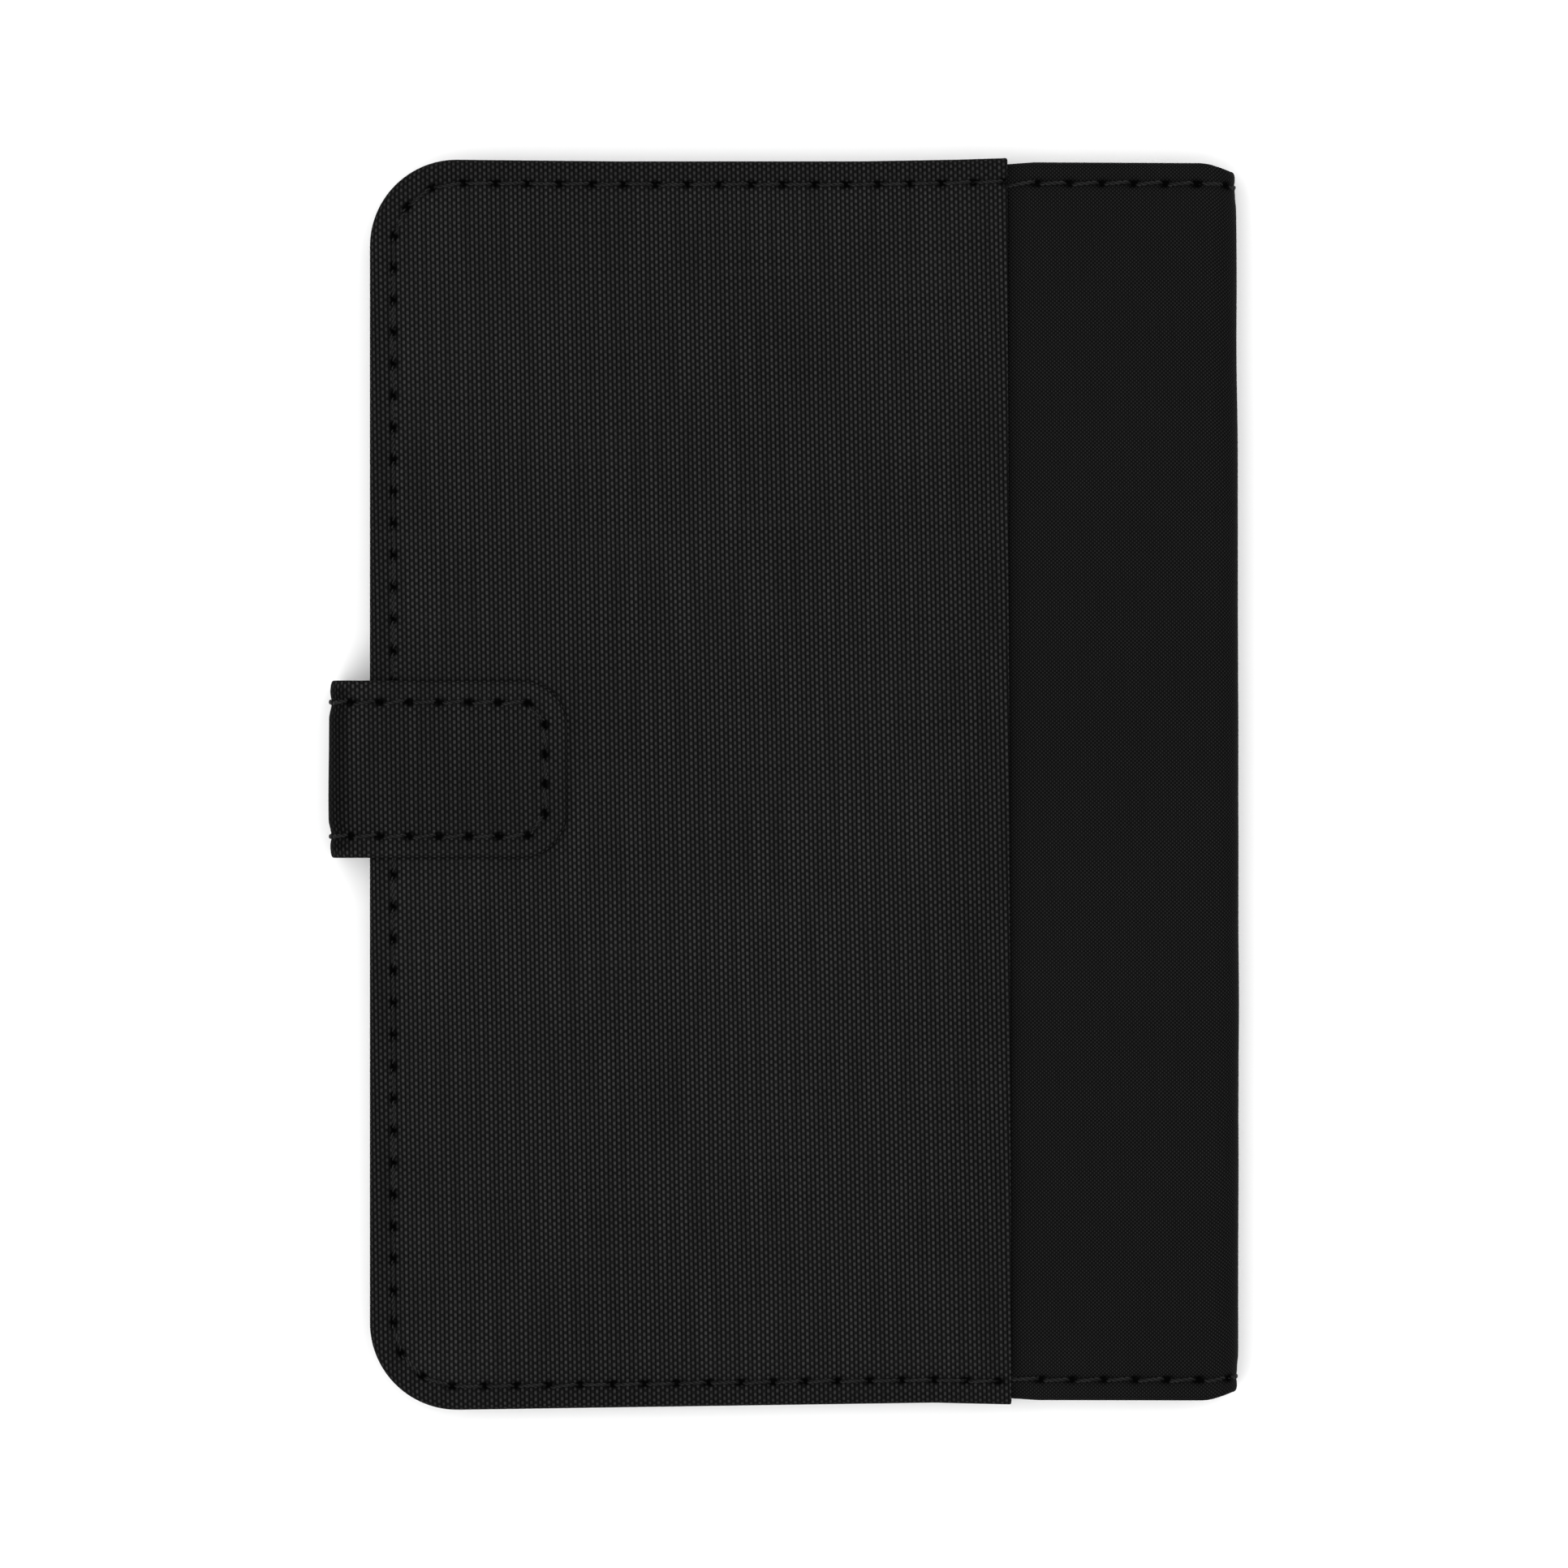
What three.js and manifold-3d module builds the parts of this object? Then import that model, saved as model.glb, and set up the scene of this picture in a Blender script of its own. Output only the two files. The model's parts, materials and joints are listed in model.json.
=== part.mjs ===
// Passport holder wallet, closed and lying on its back cover.
// Millimetres. +X runs from the fore edge to the spine, +Y to the top edge, +Z up.
// The origin is under the middle of the whole wallet, on the surface it lies on.
import * as THREE from "three";
import { mergeVertices } from "three/addons/utils/BufferGeometryUtils.js";
import Module from "manifold-3d";

const wasm = await Module();
wasm.setup();

// ---- Driving dimensions ----
const COVER_WIDTH = 100; // fore edge to the outside of the spine
const COVER_HEIGHT = 144; // woven panels
const SPINE_HEIGHT = 142.6; // smooth wrap round the spine
const CORNER_RADIUS = 10; // at the fore edge
const WOVEN_WIDTH = 73.7; // fore edge to the woven panel's folded edge
const STRAP_STANDOFF = 4.7; // how far the strap stands out past the fore edge
const PASSPORT_GAP = 4.4; // between the pockets of the closed covers

// Layers of a cover, from its outer face inwards.
const LAYER_GAP = 0.1; // air between layers that only touch
const WOVEN_THICK = 0.5;
const SMOOTH_THICK = 0.5;
const FOAM_THICK = 0.8;
const BOARD_THICK = 0.9;
const LINING_THICK = 0.3;
const BORDER_RECESS = 0.3; // the sewn border lies this far below the padded face
const BORDER_WIDTH = 3.4;
const BOARD_CLEARANCE = 0.3; // between the board and the turned hems
const LINING_INSET = 1.0;
const SEAM_INSET = 2.8; // stitch line from the cover's edge
const THREAD_WIDTH = 0.4;
const THREAD_THICK = 0.2;
const SMOOTH_TUCK = 6; // the smooth wrap's part under the woven panel
const SPINE_BEND = 3; // outer radius of the wrap at each side of the spine
const SPINE_LINING_DEPTH = 0.95; // spine's outer face to the spine lining

// Pockets.
const POCKET_THICK = 0.3;
const SLEEVE_THICK = 0.4;
const SLEEVE_DEPTH = 0.6; // room behind the passport sleeve
const SLEEVE_REACH = 61; // fore edge to the sleeve's mouth
const SLIP_DEPTH = 0.4; // room behind the slip pocket
const SLIP_MOUTH = 50; // height of the slip pocket's mouth
const POCKET_SEAM = 3; // sewn margin of a pocket
const POCKET_INSET = 1.5;
const CARD_MOUTHS = [26, 12, -2]; // heights of the card pockets' mouths
const CARD_POCKET_HEIGHT = 58;

// Closure tab.
const TAB_WIDTH = 20.4;
const TAB_CENTRE = 1.7; // above the covers' middle
const TAB_REACH = 27.4; // strap's outer face to the tip
const TAB_TIP_RADIUS = 5.5;
const STRAP_LAYER = 0.35;
const STRAP_THICK = 2 * STRAP_LAYER + LAYER_GAP;
const STRAP_BEND = 2.8; // outer radius of the strap's bends
const STRAP_TAIL = 15; // sewn length inside the back cover
const FLAP_CLEARANCE = 0.2; // flap over the front cover
const FLAP_THICK = 1.9;
const FLAP_RIM = 2;
const TAB_SEAM_INSET = 2.4;
const MAGNET_RADIUS = 7;
const MAGNET_THICK = 0.9;
const MAGNET_FROM_TIP = 10.4;
const STIFFENER_THICK = 0.8;
const PLATE_RADIUS = 8;
const FIT = 0.3; // side clearance of an insert in its recess

// Small clearances and overlaps.
const FACE_LAP = 0.4; // the padded face's sheet runs this far into the sewn border
const BOARD_TO_BEND = 1.2; // board's end to where the wrap starts to bend
const SLOT_SIDE = 0.2; // each side of the strap, in the slot it enters the cover by
const SLOT_OUTER = 0.02; // outer fabric to that slot
const SLOT_INNER = 0.08; // strap to that slot's inner wall
const HEM_GAP = 0.2; // boards' sides to the wrap's turned hems
const LINING_LAP = 0.2; // the lining runs this far past the board
const POCKET_END_GAP = 0.3; // pockets' ends to the board's end
const THREAD_GAP = 0.05; // thread to the fabric it lies on
const WELD = 0.01; // overlap of two solids that are joined
const PAST = 1; // how far a cutting solid runs past what it cuts

const ARC_STEPS = 10; // facets in a quarter turn

// ---- Places worked out from them ----
const TOTAL_WIDTH = COVER_WIDTH + STRAP_STANDOFF;
const STRAP_FACE = -TOTAL_WIDTH / 2;
const SPINE_FACE = TOTAL_WIDTH / 2;
const FORE = STRAP_FACE + STRAP_STANDOFF;
const WOVEN_END = FORE + WOVEN_WIDTH;
const SPINE_BEND_X = SPINE_FACE - SPINE_BEND;

const FOAM_DEPTH = WOVEN_THICK + LAYER_GAP;
const BOARD_DEPTH = FOAM_DEPTH + FOAM_THICK + LAYER_GAP;
const LINING_DEPTH = BOARD_DEPTH + BOARD_THICK + LAYER_GAP;
const COVER_THICK = LINING_DEPTH + LINING_THICK;
const SLEEVE_FACE = COVER_THICK + SLEEVE_DEPTH + SLEEVE_THICK;
const SLIP_FACE = COVER_THICK + SLIP_DEPTH + POCKET_THICK;
const CARD_PITCH = POCKET_THICK + LAYER_GAP;
const CARD_FACE = SLIP_FACE + CARD_MOUTHS.length * CARD_PITCH;
const THICKNESS = SLEEVE_FACE + PASSPORT_GAP + CARD_FACE;

const INNER_HALF = SPINE_HEIGHT / 2 - BORDER_WIDTH - BOARD_CLEARANCE;
const BOARD_INSET = BORDER_WIDTH + BOARD_CLEARANCE;
const BOARD_END = SPINE_BEND_X - BOARD_TO_BEND;
const POCKET_HALF = SPINE_HEIGHT / 2 - POCKET_INSET;

const FLAP_BOTTOM = THICKNESS + FLAP_CLEARANCE;
const FLAP_TOP = FLAP_BOTTOM + FLAP_THICK;
const TAB_TIP = STRAP_FACE + TAB_REACH;
const STRAP_BEND_X = STRAP_FACE + STRAP_BEND;
const MAGNET_X = TAB_TIP - MAGNET_FROM_TIP;

// ---- Geometry helpers ----
function solidOf(geometry) {
  const bare = geometry.index ? geometry.toNonIndexed() : geometry.clone();
  bare.deleteAttribute("normal");
  bare.deleteAttribute("uv");
  const merged = mergeVertices(bare, 1e-4);
  return new wasm.Manifold(
    new wasm.Mesh({
      numProp: 3,
      vertProperties: merged.attributes.position.array,
      triVerts: new Uint32Array(merged.index.array),
    }),
  );
}

function geometryOf(solid) {
  const mesh = solid.getMesh();
  const geometry = new THREE.BufferGeometry();
  geometry.setAttribute("position", new THREE.BufferAttribute(mesh.vertProperties, 3));
  geometry.setIndex(new THREE.BufferAttribute(mesh.triVerts, 1));
  geometry.computeVertexNormals();
  return geometry;
}

const join = (first, ...rest) =>
  geometryOf(rest.reduce((all, g) => all.add(solidOf(g)), solidOf(first)));

const cut = (body, ...tools) =>
  geometryOf(tools.reduce((left, g) => left.subtract(solidOf(g)), solidOf(body)));

// A plan outline raised from one height to another.
function prism(shape, z0, z1) {
  const low = Math.min(z0, z1);
  const geometry = new THREE.ExtrudeGeometry(shape, {
    depth: Math.abs(z1 - z0),
    bevelEnabled: false,
    curveSegments: ARC_STEPS,
  });
  return geometry.translate(0, 0, low);
}

// A section drawn in X and Z, carried along Y.
function section(points, y0, y1) {
  const shape = new THREE.Shape(points.map(([x, z]) => new THREE.Vector2(x, z)));
  const geometry = new THREE.ExtrudeGeometry(shape, { depth: y1 - y0, bevelEnabled: false });
  return geometry.rotateX(Math.PI / 2).translate(0, y1, 0);
}

function box(x0, x1, y0, y1, z0, z1) {
  const size = [x1 - x0, y1 - y0, Math.abs(z1 - z0)];
  const geometry = new THREE.BoxGeometry(...size);
  return geometry.translate((x0 + x1) / 2, (y0 + y1) / 2, (z0 + z1) / 2);
}

function disc(radius, x, y, z0, z1) {
  const geometry = new THREE.CylinderGeometry(radius, radius, Math.abs(z1 - z0), 4 * ARC_STEPS);
  return geometry.rotateX(Math.PI / 2).translate(x, y, (z0 + z1) / 2);
}

// Points of an arc from one angle to another, in degrees.
function arc(cx, cz, radius, from, to) {
  const points = [];
  for (let i = 0; i <= ARC_STEPS; i += 1) {
    const angle = THREE.MathUtils.degToRad(from + ((to - from) * i) / ARC_STEPS);
    points.push([cx + radius * Math.cos(angle), cz + radius * Math.sin(angle)]);
  }
  return points;
}

// A rectangle whose two corners at the fore edge are rounded. A radius of 0 is square.
function foreRounded(x0, x1, y0, y1, lowRadius, highRadius = lowRadius) {
  const shape = new THREE.Shape();
  shape.moveTo(x1, y0);
  shape.lineTo(x1, y1);
  shape.lineTo(x0 + highRadius, y1);
  if (highRadius) shape.absarc(x0 + highRadius, y1 - highRadius, highRadius, Math.PI / 2, Math.PI);
  shape.lineTo(x0, y0 + lowRadius);
  if (lowRadius) shape.absarc(x0 + lowRadius, y0 + lowRadius, lowRadius, Math.PI, 1.5 * Math.PI);
  shape.closePath();
  return shape;
}

const coverOutline = (inset, end) =>
  foreRounded(
    FORE + inset,
    end,
    inset - COVER_HEIGHT / 2,
    COVER_HEIGHT / 2 - inset,
    Math.max(CORNER_RADIUS - inset, 1),
  );

function tabOutline(inset, start) {
  const [low, high] = [TAB_CENTRE - TAB_WIDTH / 2 + inset, TAB_CENTRE + TAB_WIDTH / 2 - inset];
  const radius = TAB_TIP_RADIUS - inset;
  const tip = TAB_TIP - inset;
  const shape = new THREE.Shape();
  shape.moveTo(start, high);
  shape.lineTo(start, low);
  shape.lineTo(tip - radius, low);
  shape.absarc(tip - radius, low + radius, radius, -Math.PI / 2, 0);
  shape.lineTo(tip, high - radius);
  shape.absarc(tip - radius, high - radius, radius, 0, Math.PI / 2);
  shape.closePath();
  return shape;
}

// ---- Materials ----
const material = (color, roughness, metalness = 0) =>
  new THREE.MeshStandardMaterial({ color, roughness, metalness });

const MATERIALS = {
  woven: material(0x1f1f1f, 0.8),
  smooth: material(0x191919, 0.65),
  thread: material(0x1a1a1a, 0.55),
  lining: material(0x161616, 0.75),
  foam: material(0x2a2a2a, 0.95),
  board: material(0x8c8273, 0.9),
  steel: material(0xb8b8b8, 0.35, 1),
};

const piece = (name, look, geometry) => {
  const mesh = new THREE.Mesh(geometry, MATERIALS[look]);
  mesh.name = name;
  return mesh;
};

// ---- Pieces that both covers have ----
// heightAt turns a depth below the cover's outer face into a height.
function wovenPanel(heightAt, hasStrapSlot) {
  const face = prism(coverOutline(BORDER_WIDTH - FACE_LAP, WOVEN_END), heightAt(0), heightAt(WOVEN_THICK));
  const border = cut(
    prism(coverOutline(0, WOVEN_END), heightAt(BORDER_RECESS), heightAt(LINING_DEPTH - LAYER_GAP)),
    prism(coverOutline(BORDER_WIDTH, WOVEN_END + PAST), heightAt(LAYER_GAP), heightAt(COVER_THICK)),
  );
  const panel = join(face, border);
  if (!hasStrapSlot) return panel;
  const half = TAB_WIDTH / 2 + SLOT_SIDE;
  const slot = box(
    FORE - PAST,
    FORE + BORDER_WIDTH + PAST,
    TAB_CENTRE - half,
    TAB_CENTRE + half,
    heightAt(WOVEN_THICK + SLOT_OUTER),
    heightAt(FOAM_DEPTH + STRAP_THICK + SLOT_INNER),
  );
  return cut(panel, slot);
}

function smoothWrap(heightAt) {
  const start = WOVEN_END - SMOOTH_TUCK;
  const outer = arc(SPINE_BEND_X, FOAM_DEPTH + SPINE_BEND, SPINE_BEND, -90, 0);
  const inner = arc(SPINE_BEND_X, FOAM_DEPTH + SPINE_BEND, SPINE_BEND - SMOOTH_THICK, 0, -90);
  const profile = [[start, FOAM_DEPTH], ...outer, ...inner, [start, FOAM_DEPTH + SMOOTH_THICK]];
  const half = SPINE_HEIGHT / 2;
  const tuckEnd = WOVEN_END + FIT;
  const sheet = section(profile.map(([x, d]) => [x, heightAt(d)]), -half, half);
  const hems = [-1, 1].map((side) => {
    const [a, b] = [side * half, side * (half - BORDER_WIDTH)];
    const [z0, z1] = [heightAt(FOAM_DEPTH + SMOOTH_THICK / 2), heightAt(LINING_DEPTH - LAYER_GAP)];
    return box(tuckEnd, SPINE_BEND_X - 1, Math.min(a, b), Math.max(a, b), z0, z1);
  });
  const trims = [-1, 1].map((side) => {
    const [a, b] = [side * (half + PAST), side * (INNER_HALF + HEM_GAP)];
    return box(start - PAST, tuckEnd, Math.min(a, b), Math.max(a, b), heightAt(0), heightAt(COVER_THICK));
  });
  return cut(join(sheet, ...hems), ...trims);
}

function board(heightAt) {
  const outline = foreRounded(
    FORE + BOARD_INSET,
    BOARD_END,
    -INNER_HALF,
    INNER_HALF,
    CORNER_RADIUS - BOARD_INSET,
  );
  return prism(outline, heightAt(BOARD_DEPTH), heightAt(BOARD_DEPTH + BOARD_THICK));
}

function foamPad(heightAt, ...cutouts) {
  const end = WOVEN_END - SMOOTH_TUCK - FIT;
  const outline = foreRounded(
    FORE + BOARD_INSET,
    end,
    -INNER_HALF,
    INNER_HALF,
    CORNER_RADIUS - BOARD_INSET,
  );
  const pad = prism(outline, heightAt(FOAM_DEPTH), heightAt(FOAM_DEPTH + FOAM_THICK));
  return cut(pad, ...cutouts);
}

function lining(heightAt) {
  const half = SPINE_HEIGHT / 2 - LINING_INSET;
  const radius = CORNER_RADIUS - LINING_INSET;
  const outline = foreRounded(FORE + LINING_INSET, BOARD_END + LINING_LAP, -half, half, radius);
  return prism(outline, heightAt(LINING_DEPTH), heightAt(COVER_THICK));
}

// The seam's thread as a flat cord in the border: along the top, round the fore edge and back.
function seamThread(heightAt) {
  const low = SEAM_INSET - THREAD_WIDTH / 2;
  const high = SEAM_INSET + THREAD_WIDTH / 2;
  const top = heightAt(BORDER_RECESS - THREAD_THICK - THREAD_GAP);
  const foot = heightAt(BORDER_RECESS - THREAD_GAP);
  const woven = cut(
    prism(coverOutline(low, WOVEN_END + FIT), top, foot),
    prism(coverOutline(high, WOVEN_END + PAST), heightAt(-PAST), heightAt(PAST)),
  );
  const runs = [-1, 1].map((side) => {
    const middle = side * (COVER_HEIGHT / 2 - SEAM_INSET);
    const [y0, y1] = [middle - THREAD_WIDTH / 2, middle + THREAD_WIDTH / 2];
    const bottom = heightAt(FOAM_DEPTH - THREAD_GAP);
    return box(WOVEN_END + LAYER_GAP, SPINE_BEND_X - PAST, y0, y1, top, bottom);
  });
  return join(woven, ...runs);
}

// A pocket that stands off the lining on a sewn margin along its closed sides.
function pocket(outline, inside, heightAt, room, thick) {
  const [foot, top] = [COVER_THICK + LAYER_GAP, COVER_THICK + room + thick];
  const body = prism(outline, heightAt(foot), heightAt(top));
  return cut(body, prism(inside, heightAt(foot - 1), heightAt(COVER_THICK + room)));
}

// ---- Covers ----
function backCover() {
  const heightAt = (depth) => depth;
  const x0 = FORE + POCKET_INSET;
  const mouth = FORE + SLEEVE_REACH;
  const radius = CORNER_RADIUS - POCKET_INSET;
  const sleeve = pocket(
    foreRounded(x0, mouth, -POCKET_HALF, POCKET_HALF, radius),
    foreRounded(
      x0 + POCKET_SEAM,
      mouth + 1,
      POCKET_SEAM - POCKET_HALF,
      POCKET_HALF - POCKET_SEAM,
      radius - POCKET_SEAM,
    ),
    heightAt,
    SLEEVE_DEPTH,
    SLEEVE_THICK,
  );
  const notch = box(
    FORE,
    FORE + STRAP_TAIL + FIT,
    TAB_CENTRE - TAB_WIDTH / 2 - FIT,
    TAB_CENTRE + TAB_WIDTH / 2 + FIT,
    0,
    COVER_THICK,
  );
  const cover = new THREE.Group();
  cover.add(
    piece("back_fabric_panel", "woven", wovenPanel(heightAt, true)),
    piece("back_spine_wrap", "smooth", smoothWrap(heightAt)),
    piece("back_foam_pad", "foam", foamPad(heightAt, notch)),
    piece("back_board", "board", board(heightAt)),
    piece("back_lining", "lining", lining(heightAt)),
    piece("back_seam_thread", "thread", seamThread(heightAt)),
    piece("passport_sleeve", "lining", sleeve),
    piece("tab_tail", "woven", tabTail()),
  );
  return cover;
}

function frontCover() {
  const heightAt = (depth) => THICKNESS - depth;
  const x0 = FORE + POCKET_INSET;
  const x1 = BOARD_END - POCKET_END_GAP;
  const radius = CORNER_RADIUS - POCKET_INSET;
  const slip = pocket(
    foreRounded(x0, x1, -POCKET_HALF, SLIP_MOUTH, radius, 0),
    foreRounded(
      x0 + POCKET_SEAM,
      x1 - POCKET_SEAM,
      POCKET_SEAM - POCKET_HALF,
      SLIP_MOUTH + 1,
      radius - POCKET_SEAM,
      0,
    ),
    heightAt,
    SLIP_DEPTH,
    POCKET_THICK,
  );
  const cards = CARD_MOUTHS.map((mouth, i) => {
    const isLast = i === CARD_MOUTHS.length - 1;
    const foot = isLast ? -POCKET_HALF : mouth - CARD_POCKET_HEIGHT;
    const outline = foreRounded(x0, x1, foot, mouth, isLast ? radius : 0, 0);
    const depth = SLIP_FACE + LAYER_GAP + i * CARD_PITCH;
    const geometry = prism(outline, heightAt(depth), heightAt(depth + POCKET_THICK));
    return piece(`card_pocket_${i + 1}`, "lining", geometry);
  });
  const [foamTop, foamFoot] = [heightAt(FOAM_DEPTH), heightAt(FOAM_DEPTH + FOAM_THICK)];
  const plateHole = disc(PLATE_RADIUS + FIT, MAGNET_X, TAB_CENTRE, heightAt(0), heightAt(COVER_THICK));
  const cover = new THREE.Group();
  cover.add(
    piece("front_fabric_panel", "woven", wovenPanel(heightAt, false)),
    piece("front_spine_wrap", "smooth", smoothWrap(heightAt)),
    piece("front_foam_pad", "foam", foamPad(heightAt, plateHole)),
    piece("closure_plate", "steel", disc(PLATE_RADIUS, MAGNET_X, TAB_CENTRE, foamTop, foamFoot)),
    piece("front_board", "board", board(heightAt)),
    piece("front_lining", "lining", lining(heightAt)),
    piece("front_seam_thread", "thread", seamThread(heightAt)),
    piece("slip_pocket", "lining", slip),
    ...cards,
  );
  return cover;
}

// ---- Spine, between the two bends of the smooth wrap ----
function spine() {
  const z0 = FOAM_DEPTH + SPINE_BEND + LAYER_GAP;
  const z1 = THICKNESS - z0;
  const half = SPINE_HEIGHT / 2;
  const inner = SPINE_FACE - SPINE_LINING_DEPTH;
  const liningHalf = half - LINING_INSET;
  const wrap = box(SPINE_FACE - SMOOTH_THICK, SPINE_FACE, -half, half, z0, z1);
  const innerSheet = box(inner - LINING_THICK, inner, -liningHalf, liningHalf, z0, z1);
  const group = new THREE.Group();
  group.add(piece("spine_wrap", "smooth", wrap), piece("spine_lining", "lining", innerSheet));
  return group;
}

// ---- Closure tab: a strap sewn into the back cover's fore edge ----
const strapY = [TAB_CENTRE - TAB_WIDTH / 2, TAB_CENTRE + TAB_WIDTH / 2];

function tabTail() {
  const end = FORE + STRAP_TAIL;
  const centre = FOAM_DEPTH + STRAP_BEND;
  const points = [
    [end, FOAM_DEPTH],
    ...arc(STRAP_BEND_X, centre, STRAP_BEND, 270, 180),
    ...arc(STRAP_BEND_X, centre, STRAP_BEND - STRAP_THICK, 180, 270),
    [end, FOAM_DEPTH + STRAP_THICK],
  ];
  return section(points, ...strapY);
}

function tabBridge() {
  const z0 = FOAM_DEPTH + STRAP_BEND + LAYER_GAP;
  const z1 = FLAP_TOP - STRAP_BEND - LAYER_GAP;
  const inner = STRAP_FACE + STRAP_LAYER + LAYER_GAP;
  const group = new THREE.Group();
  group.add(
    piece(
      "tab_bridge_outer",
      "woven",
      box(STRAP_FACE, STRAP_FACE + STRAP_LAYER, ...strapY, z0, z1),
    ),
    piece("tab_bridge_inner", "woven", box(inner, inner + STRAP_LAYER, ...strapY, z0, z1)),
  );
  return group;
}

// The flap's outer layer: a bend, a face, and a rim turned down round the stiffener.
function flapOuter() {
  const centre = FLAP_TOP - STRAP_BEND;
  const rimFoot = FLAP_BOTTOM + STRAP_LAYER + LAYER_GAP;
  const bend = section(
    [
      ...arc(STRAP_BEND_X, centre, STRAP_BEND, 180, 90),
      ...arc(STRAP_BEND_X, centre, STRAP_BEND - STRAP_LAYER, 90, 180),
    ],
    ...strapY,
  );
  const face = prism(tabOutline(0, STRAP_BEND_X - WELD), FLAP_TOP - STRAP_LAYER, FLAP_TOP);
  const rimStart = FORE + 1;
  const rim = cut(
    prism(tabOutline(0, rimStart), rimFoot, FLAP_TOP - STRAP_LAYER / 2),
    prism(tabOutline(FLAP_RIM, rimStart + FLAP_RIM), rimFoot - 1, FLAP_TOP - STRAP_LAYER),
  );
  return join(bend, face, rim);
}

// The flap's backing: a tighter bend inside the outer one, and a flat sheet.
function flapInner() {
  const startX = STRAP_FACE + STRAP_LAYER + LAYER_GAP;
  const low = FLAP_TOP - STRAP_BEND;
  const radius = FLAP_BOTTOM + STRAP_LAYER - low;
  const bend = section(
    [
      ...arc(startX + radius, low, radius, 180, 90),
      ...arc(startX + radius, low, radius - STRAP_LAYER, 90, 180),
    ],
    ...strapY,
  );
  const sheet = prism(
    tabOutline(0, startX + radius - WELD),
    FLAP_BOTTOM,
    FLAP_BOTTOM + STRAP_LAYER,
  );
  return join(bend, sheet);
}

function tabFlap() {
  const coreStart = FORE + 1 + FLAP_RIM;
  const coreFoot = FLAP_BOTTOM + STRAP_LAYER + LAYER_GAP;
  const stiffener = cut(
    prism(tabOutline(FLAP_RIM + FIT, coreStart + FIT), coreFoot, coreFoot + STIFFENER_THICK),
    disc(MAGNET_RADIUS + FIT, MAGNET_X, TAB_CENTRE, FLAP_BOTTOM, FLAP_TOP),
  );
  const magnet = disc(MAGNET_RADIUS, MAGNET_X, TAB_CENTRE, coreFoot, coreFoot + MAGNET_THICK);
  const threadFoot = FLAP_TOP + THREAD_GAP;
  const thread = cut(
    prism(tabOutline(TAB_SEAM_INSET, FORE), threadFoot, threadFoot + THREAD_THICK),
    prism(tabOutline(TAB_SEAM_INSET + THREAD_WIDTH, FORE - PAST), FLAP_BOTTOM, FLAP_TOP + PAST),
  );
  const group = new THREE.Group();
  group.add(
    piece("tab_flap_outer", "woven", flapOuter()),
    piece("tab_flap_inner", "woven", flapInner()),
    piece("tab_stiffener", "board", stiffener),
    piece("tab_magnet", "steel", magnet),
    piece("tab_seam_thread", "thread", thread),
  );
  return group;
}

// ---- Assembly ----
const wallet = new THREE.Group();
wallet.add(backCover(), spine(), frontCover(), tabBridge(), tabFlap());

export default wallet;
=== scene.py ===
import json
import math

import bpy
import numpy as np
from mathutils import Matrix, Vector


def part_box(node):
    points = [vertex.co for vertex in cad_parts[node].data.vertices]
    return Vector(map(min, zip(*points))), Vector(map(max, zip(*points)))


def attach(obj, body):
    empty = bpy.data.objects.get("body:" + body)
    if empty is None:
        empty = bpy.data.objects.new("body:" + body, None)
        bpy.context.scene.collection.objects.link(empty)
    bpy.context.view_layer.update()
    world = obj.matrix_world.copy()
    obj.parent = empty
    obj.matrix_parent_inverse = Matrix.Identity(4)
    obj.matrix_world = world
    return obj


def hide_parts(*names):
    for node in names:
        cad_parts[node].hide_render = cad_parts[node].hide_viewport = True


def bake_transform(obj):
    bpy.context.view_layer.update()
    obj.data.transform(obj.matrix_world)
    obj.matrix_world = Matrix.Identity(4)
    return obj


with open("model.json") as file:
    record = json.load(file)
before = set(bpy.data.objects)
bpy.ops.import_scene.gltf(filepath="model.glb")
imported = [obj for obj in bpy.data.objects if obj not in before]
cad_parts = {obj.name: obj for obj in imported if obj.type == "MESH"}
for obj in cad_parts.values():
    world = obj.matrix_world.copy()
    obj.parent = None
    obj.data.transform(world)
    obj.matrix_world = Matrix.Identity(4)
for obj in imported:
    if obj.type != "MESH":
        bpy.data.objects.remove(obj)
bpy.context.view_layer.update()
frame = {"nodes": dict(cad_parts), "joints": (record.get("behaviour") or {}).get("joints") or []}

# All shapes are worked out in millimetres and go into the meshes in metres.
MM = 0.001


def node_box(name):
    """Lowest and highest corner of a CAD node, in millimetres."""
    low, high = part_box(name)
    return np.array(low) / MM, np.array(high) / MM


# ---- Places, from the frame ----
panel_low, panel_high = node_box("front_fabric_panel")
wrap_low, wrap_high = node_box("front_spine_wrap")
flap_low, flap_high = node_box("tab_flap_outer")
sleeve_low, sleeve_high = node_box("passport_sleeve")
slip_low, slip_high = node_box("slip_pocket")
lining_low, lining_high = node_box("front_lining")

FORE = panel_low[0]
WOVEN_END = panel_high[0]
SPINE = wrap_high[0]
TOP = panel_high[2]
COVER_HALF = panel_high[1]
SMOOTH_HALF = wrap_high[1]
SMOOTH_TOP = wrap_high[2]
MIDDLE = TOP / 2
TAB_TIP = flap_high[0]
TAB_FACE = flap_high[2]
STRAP_FACE = flap_low[0]
TAB_CENTRE = (flap_low[1] + flap_high[1]) / 2
TAB_HALF = (flap_high[1] - flap_low[1]) / 2
PIVOTS = {j["name"]: np.array(j["pos_m"]) / MM for j in frame["joints"]}

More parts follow.
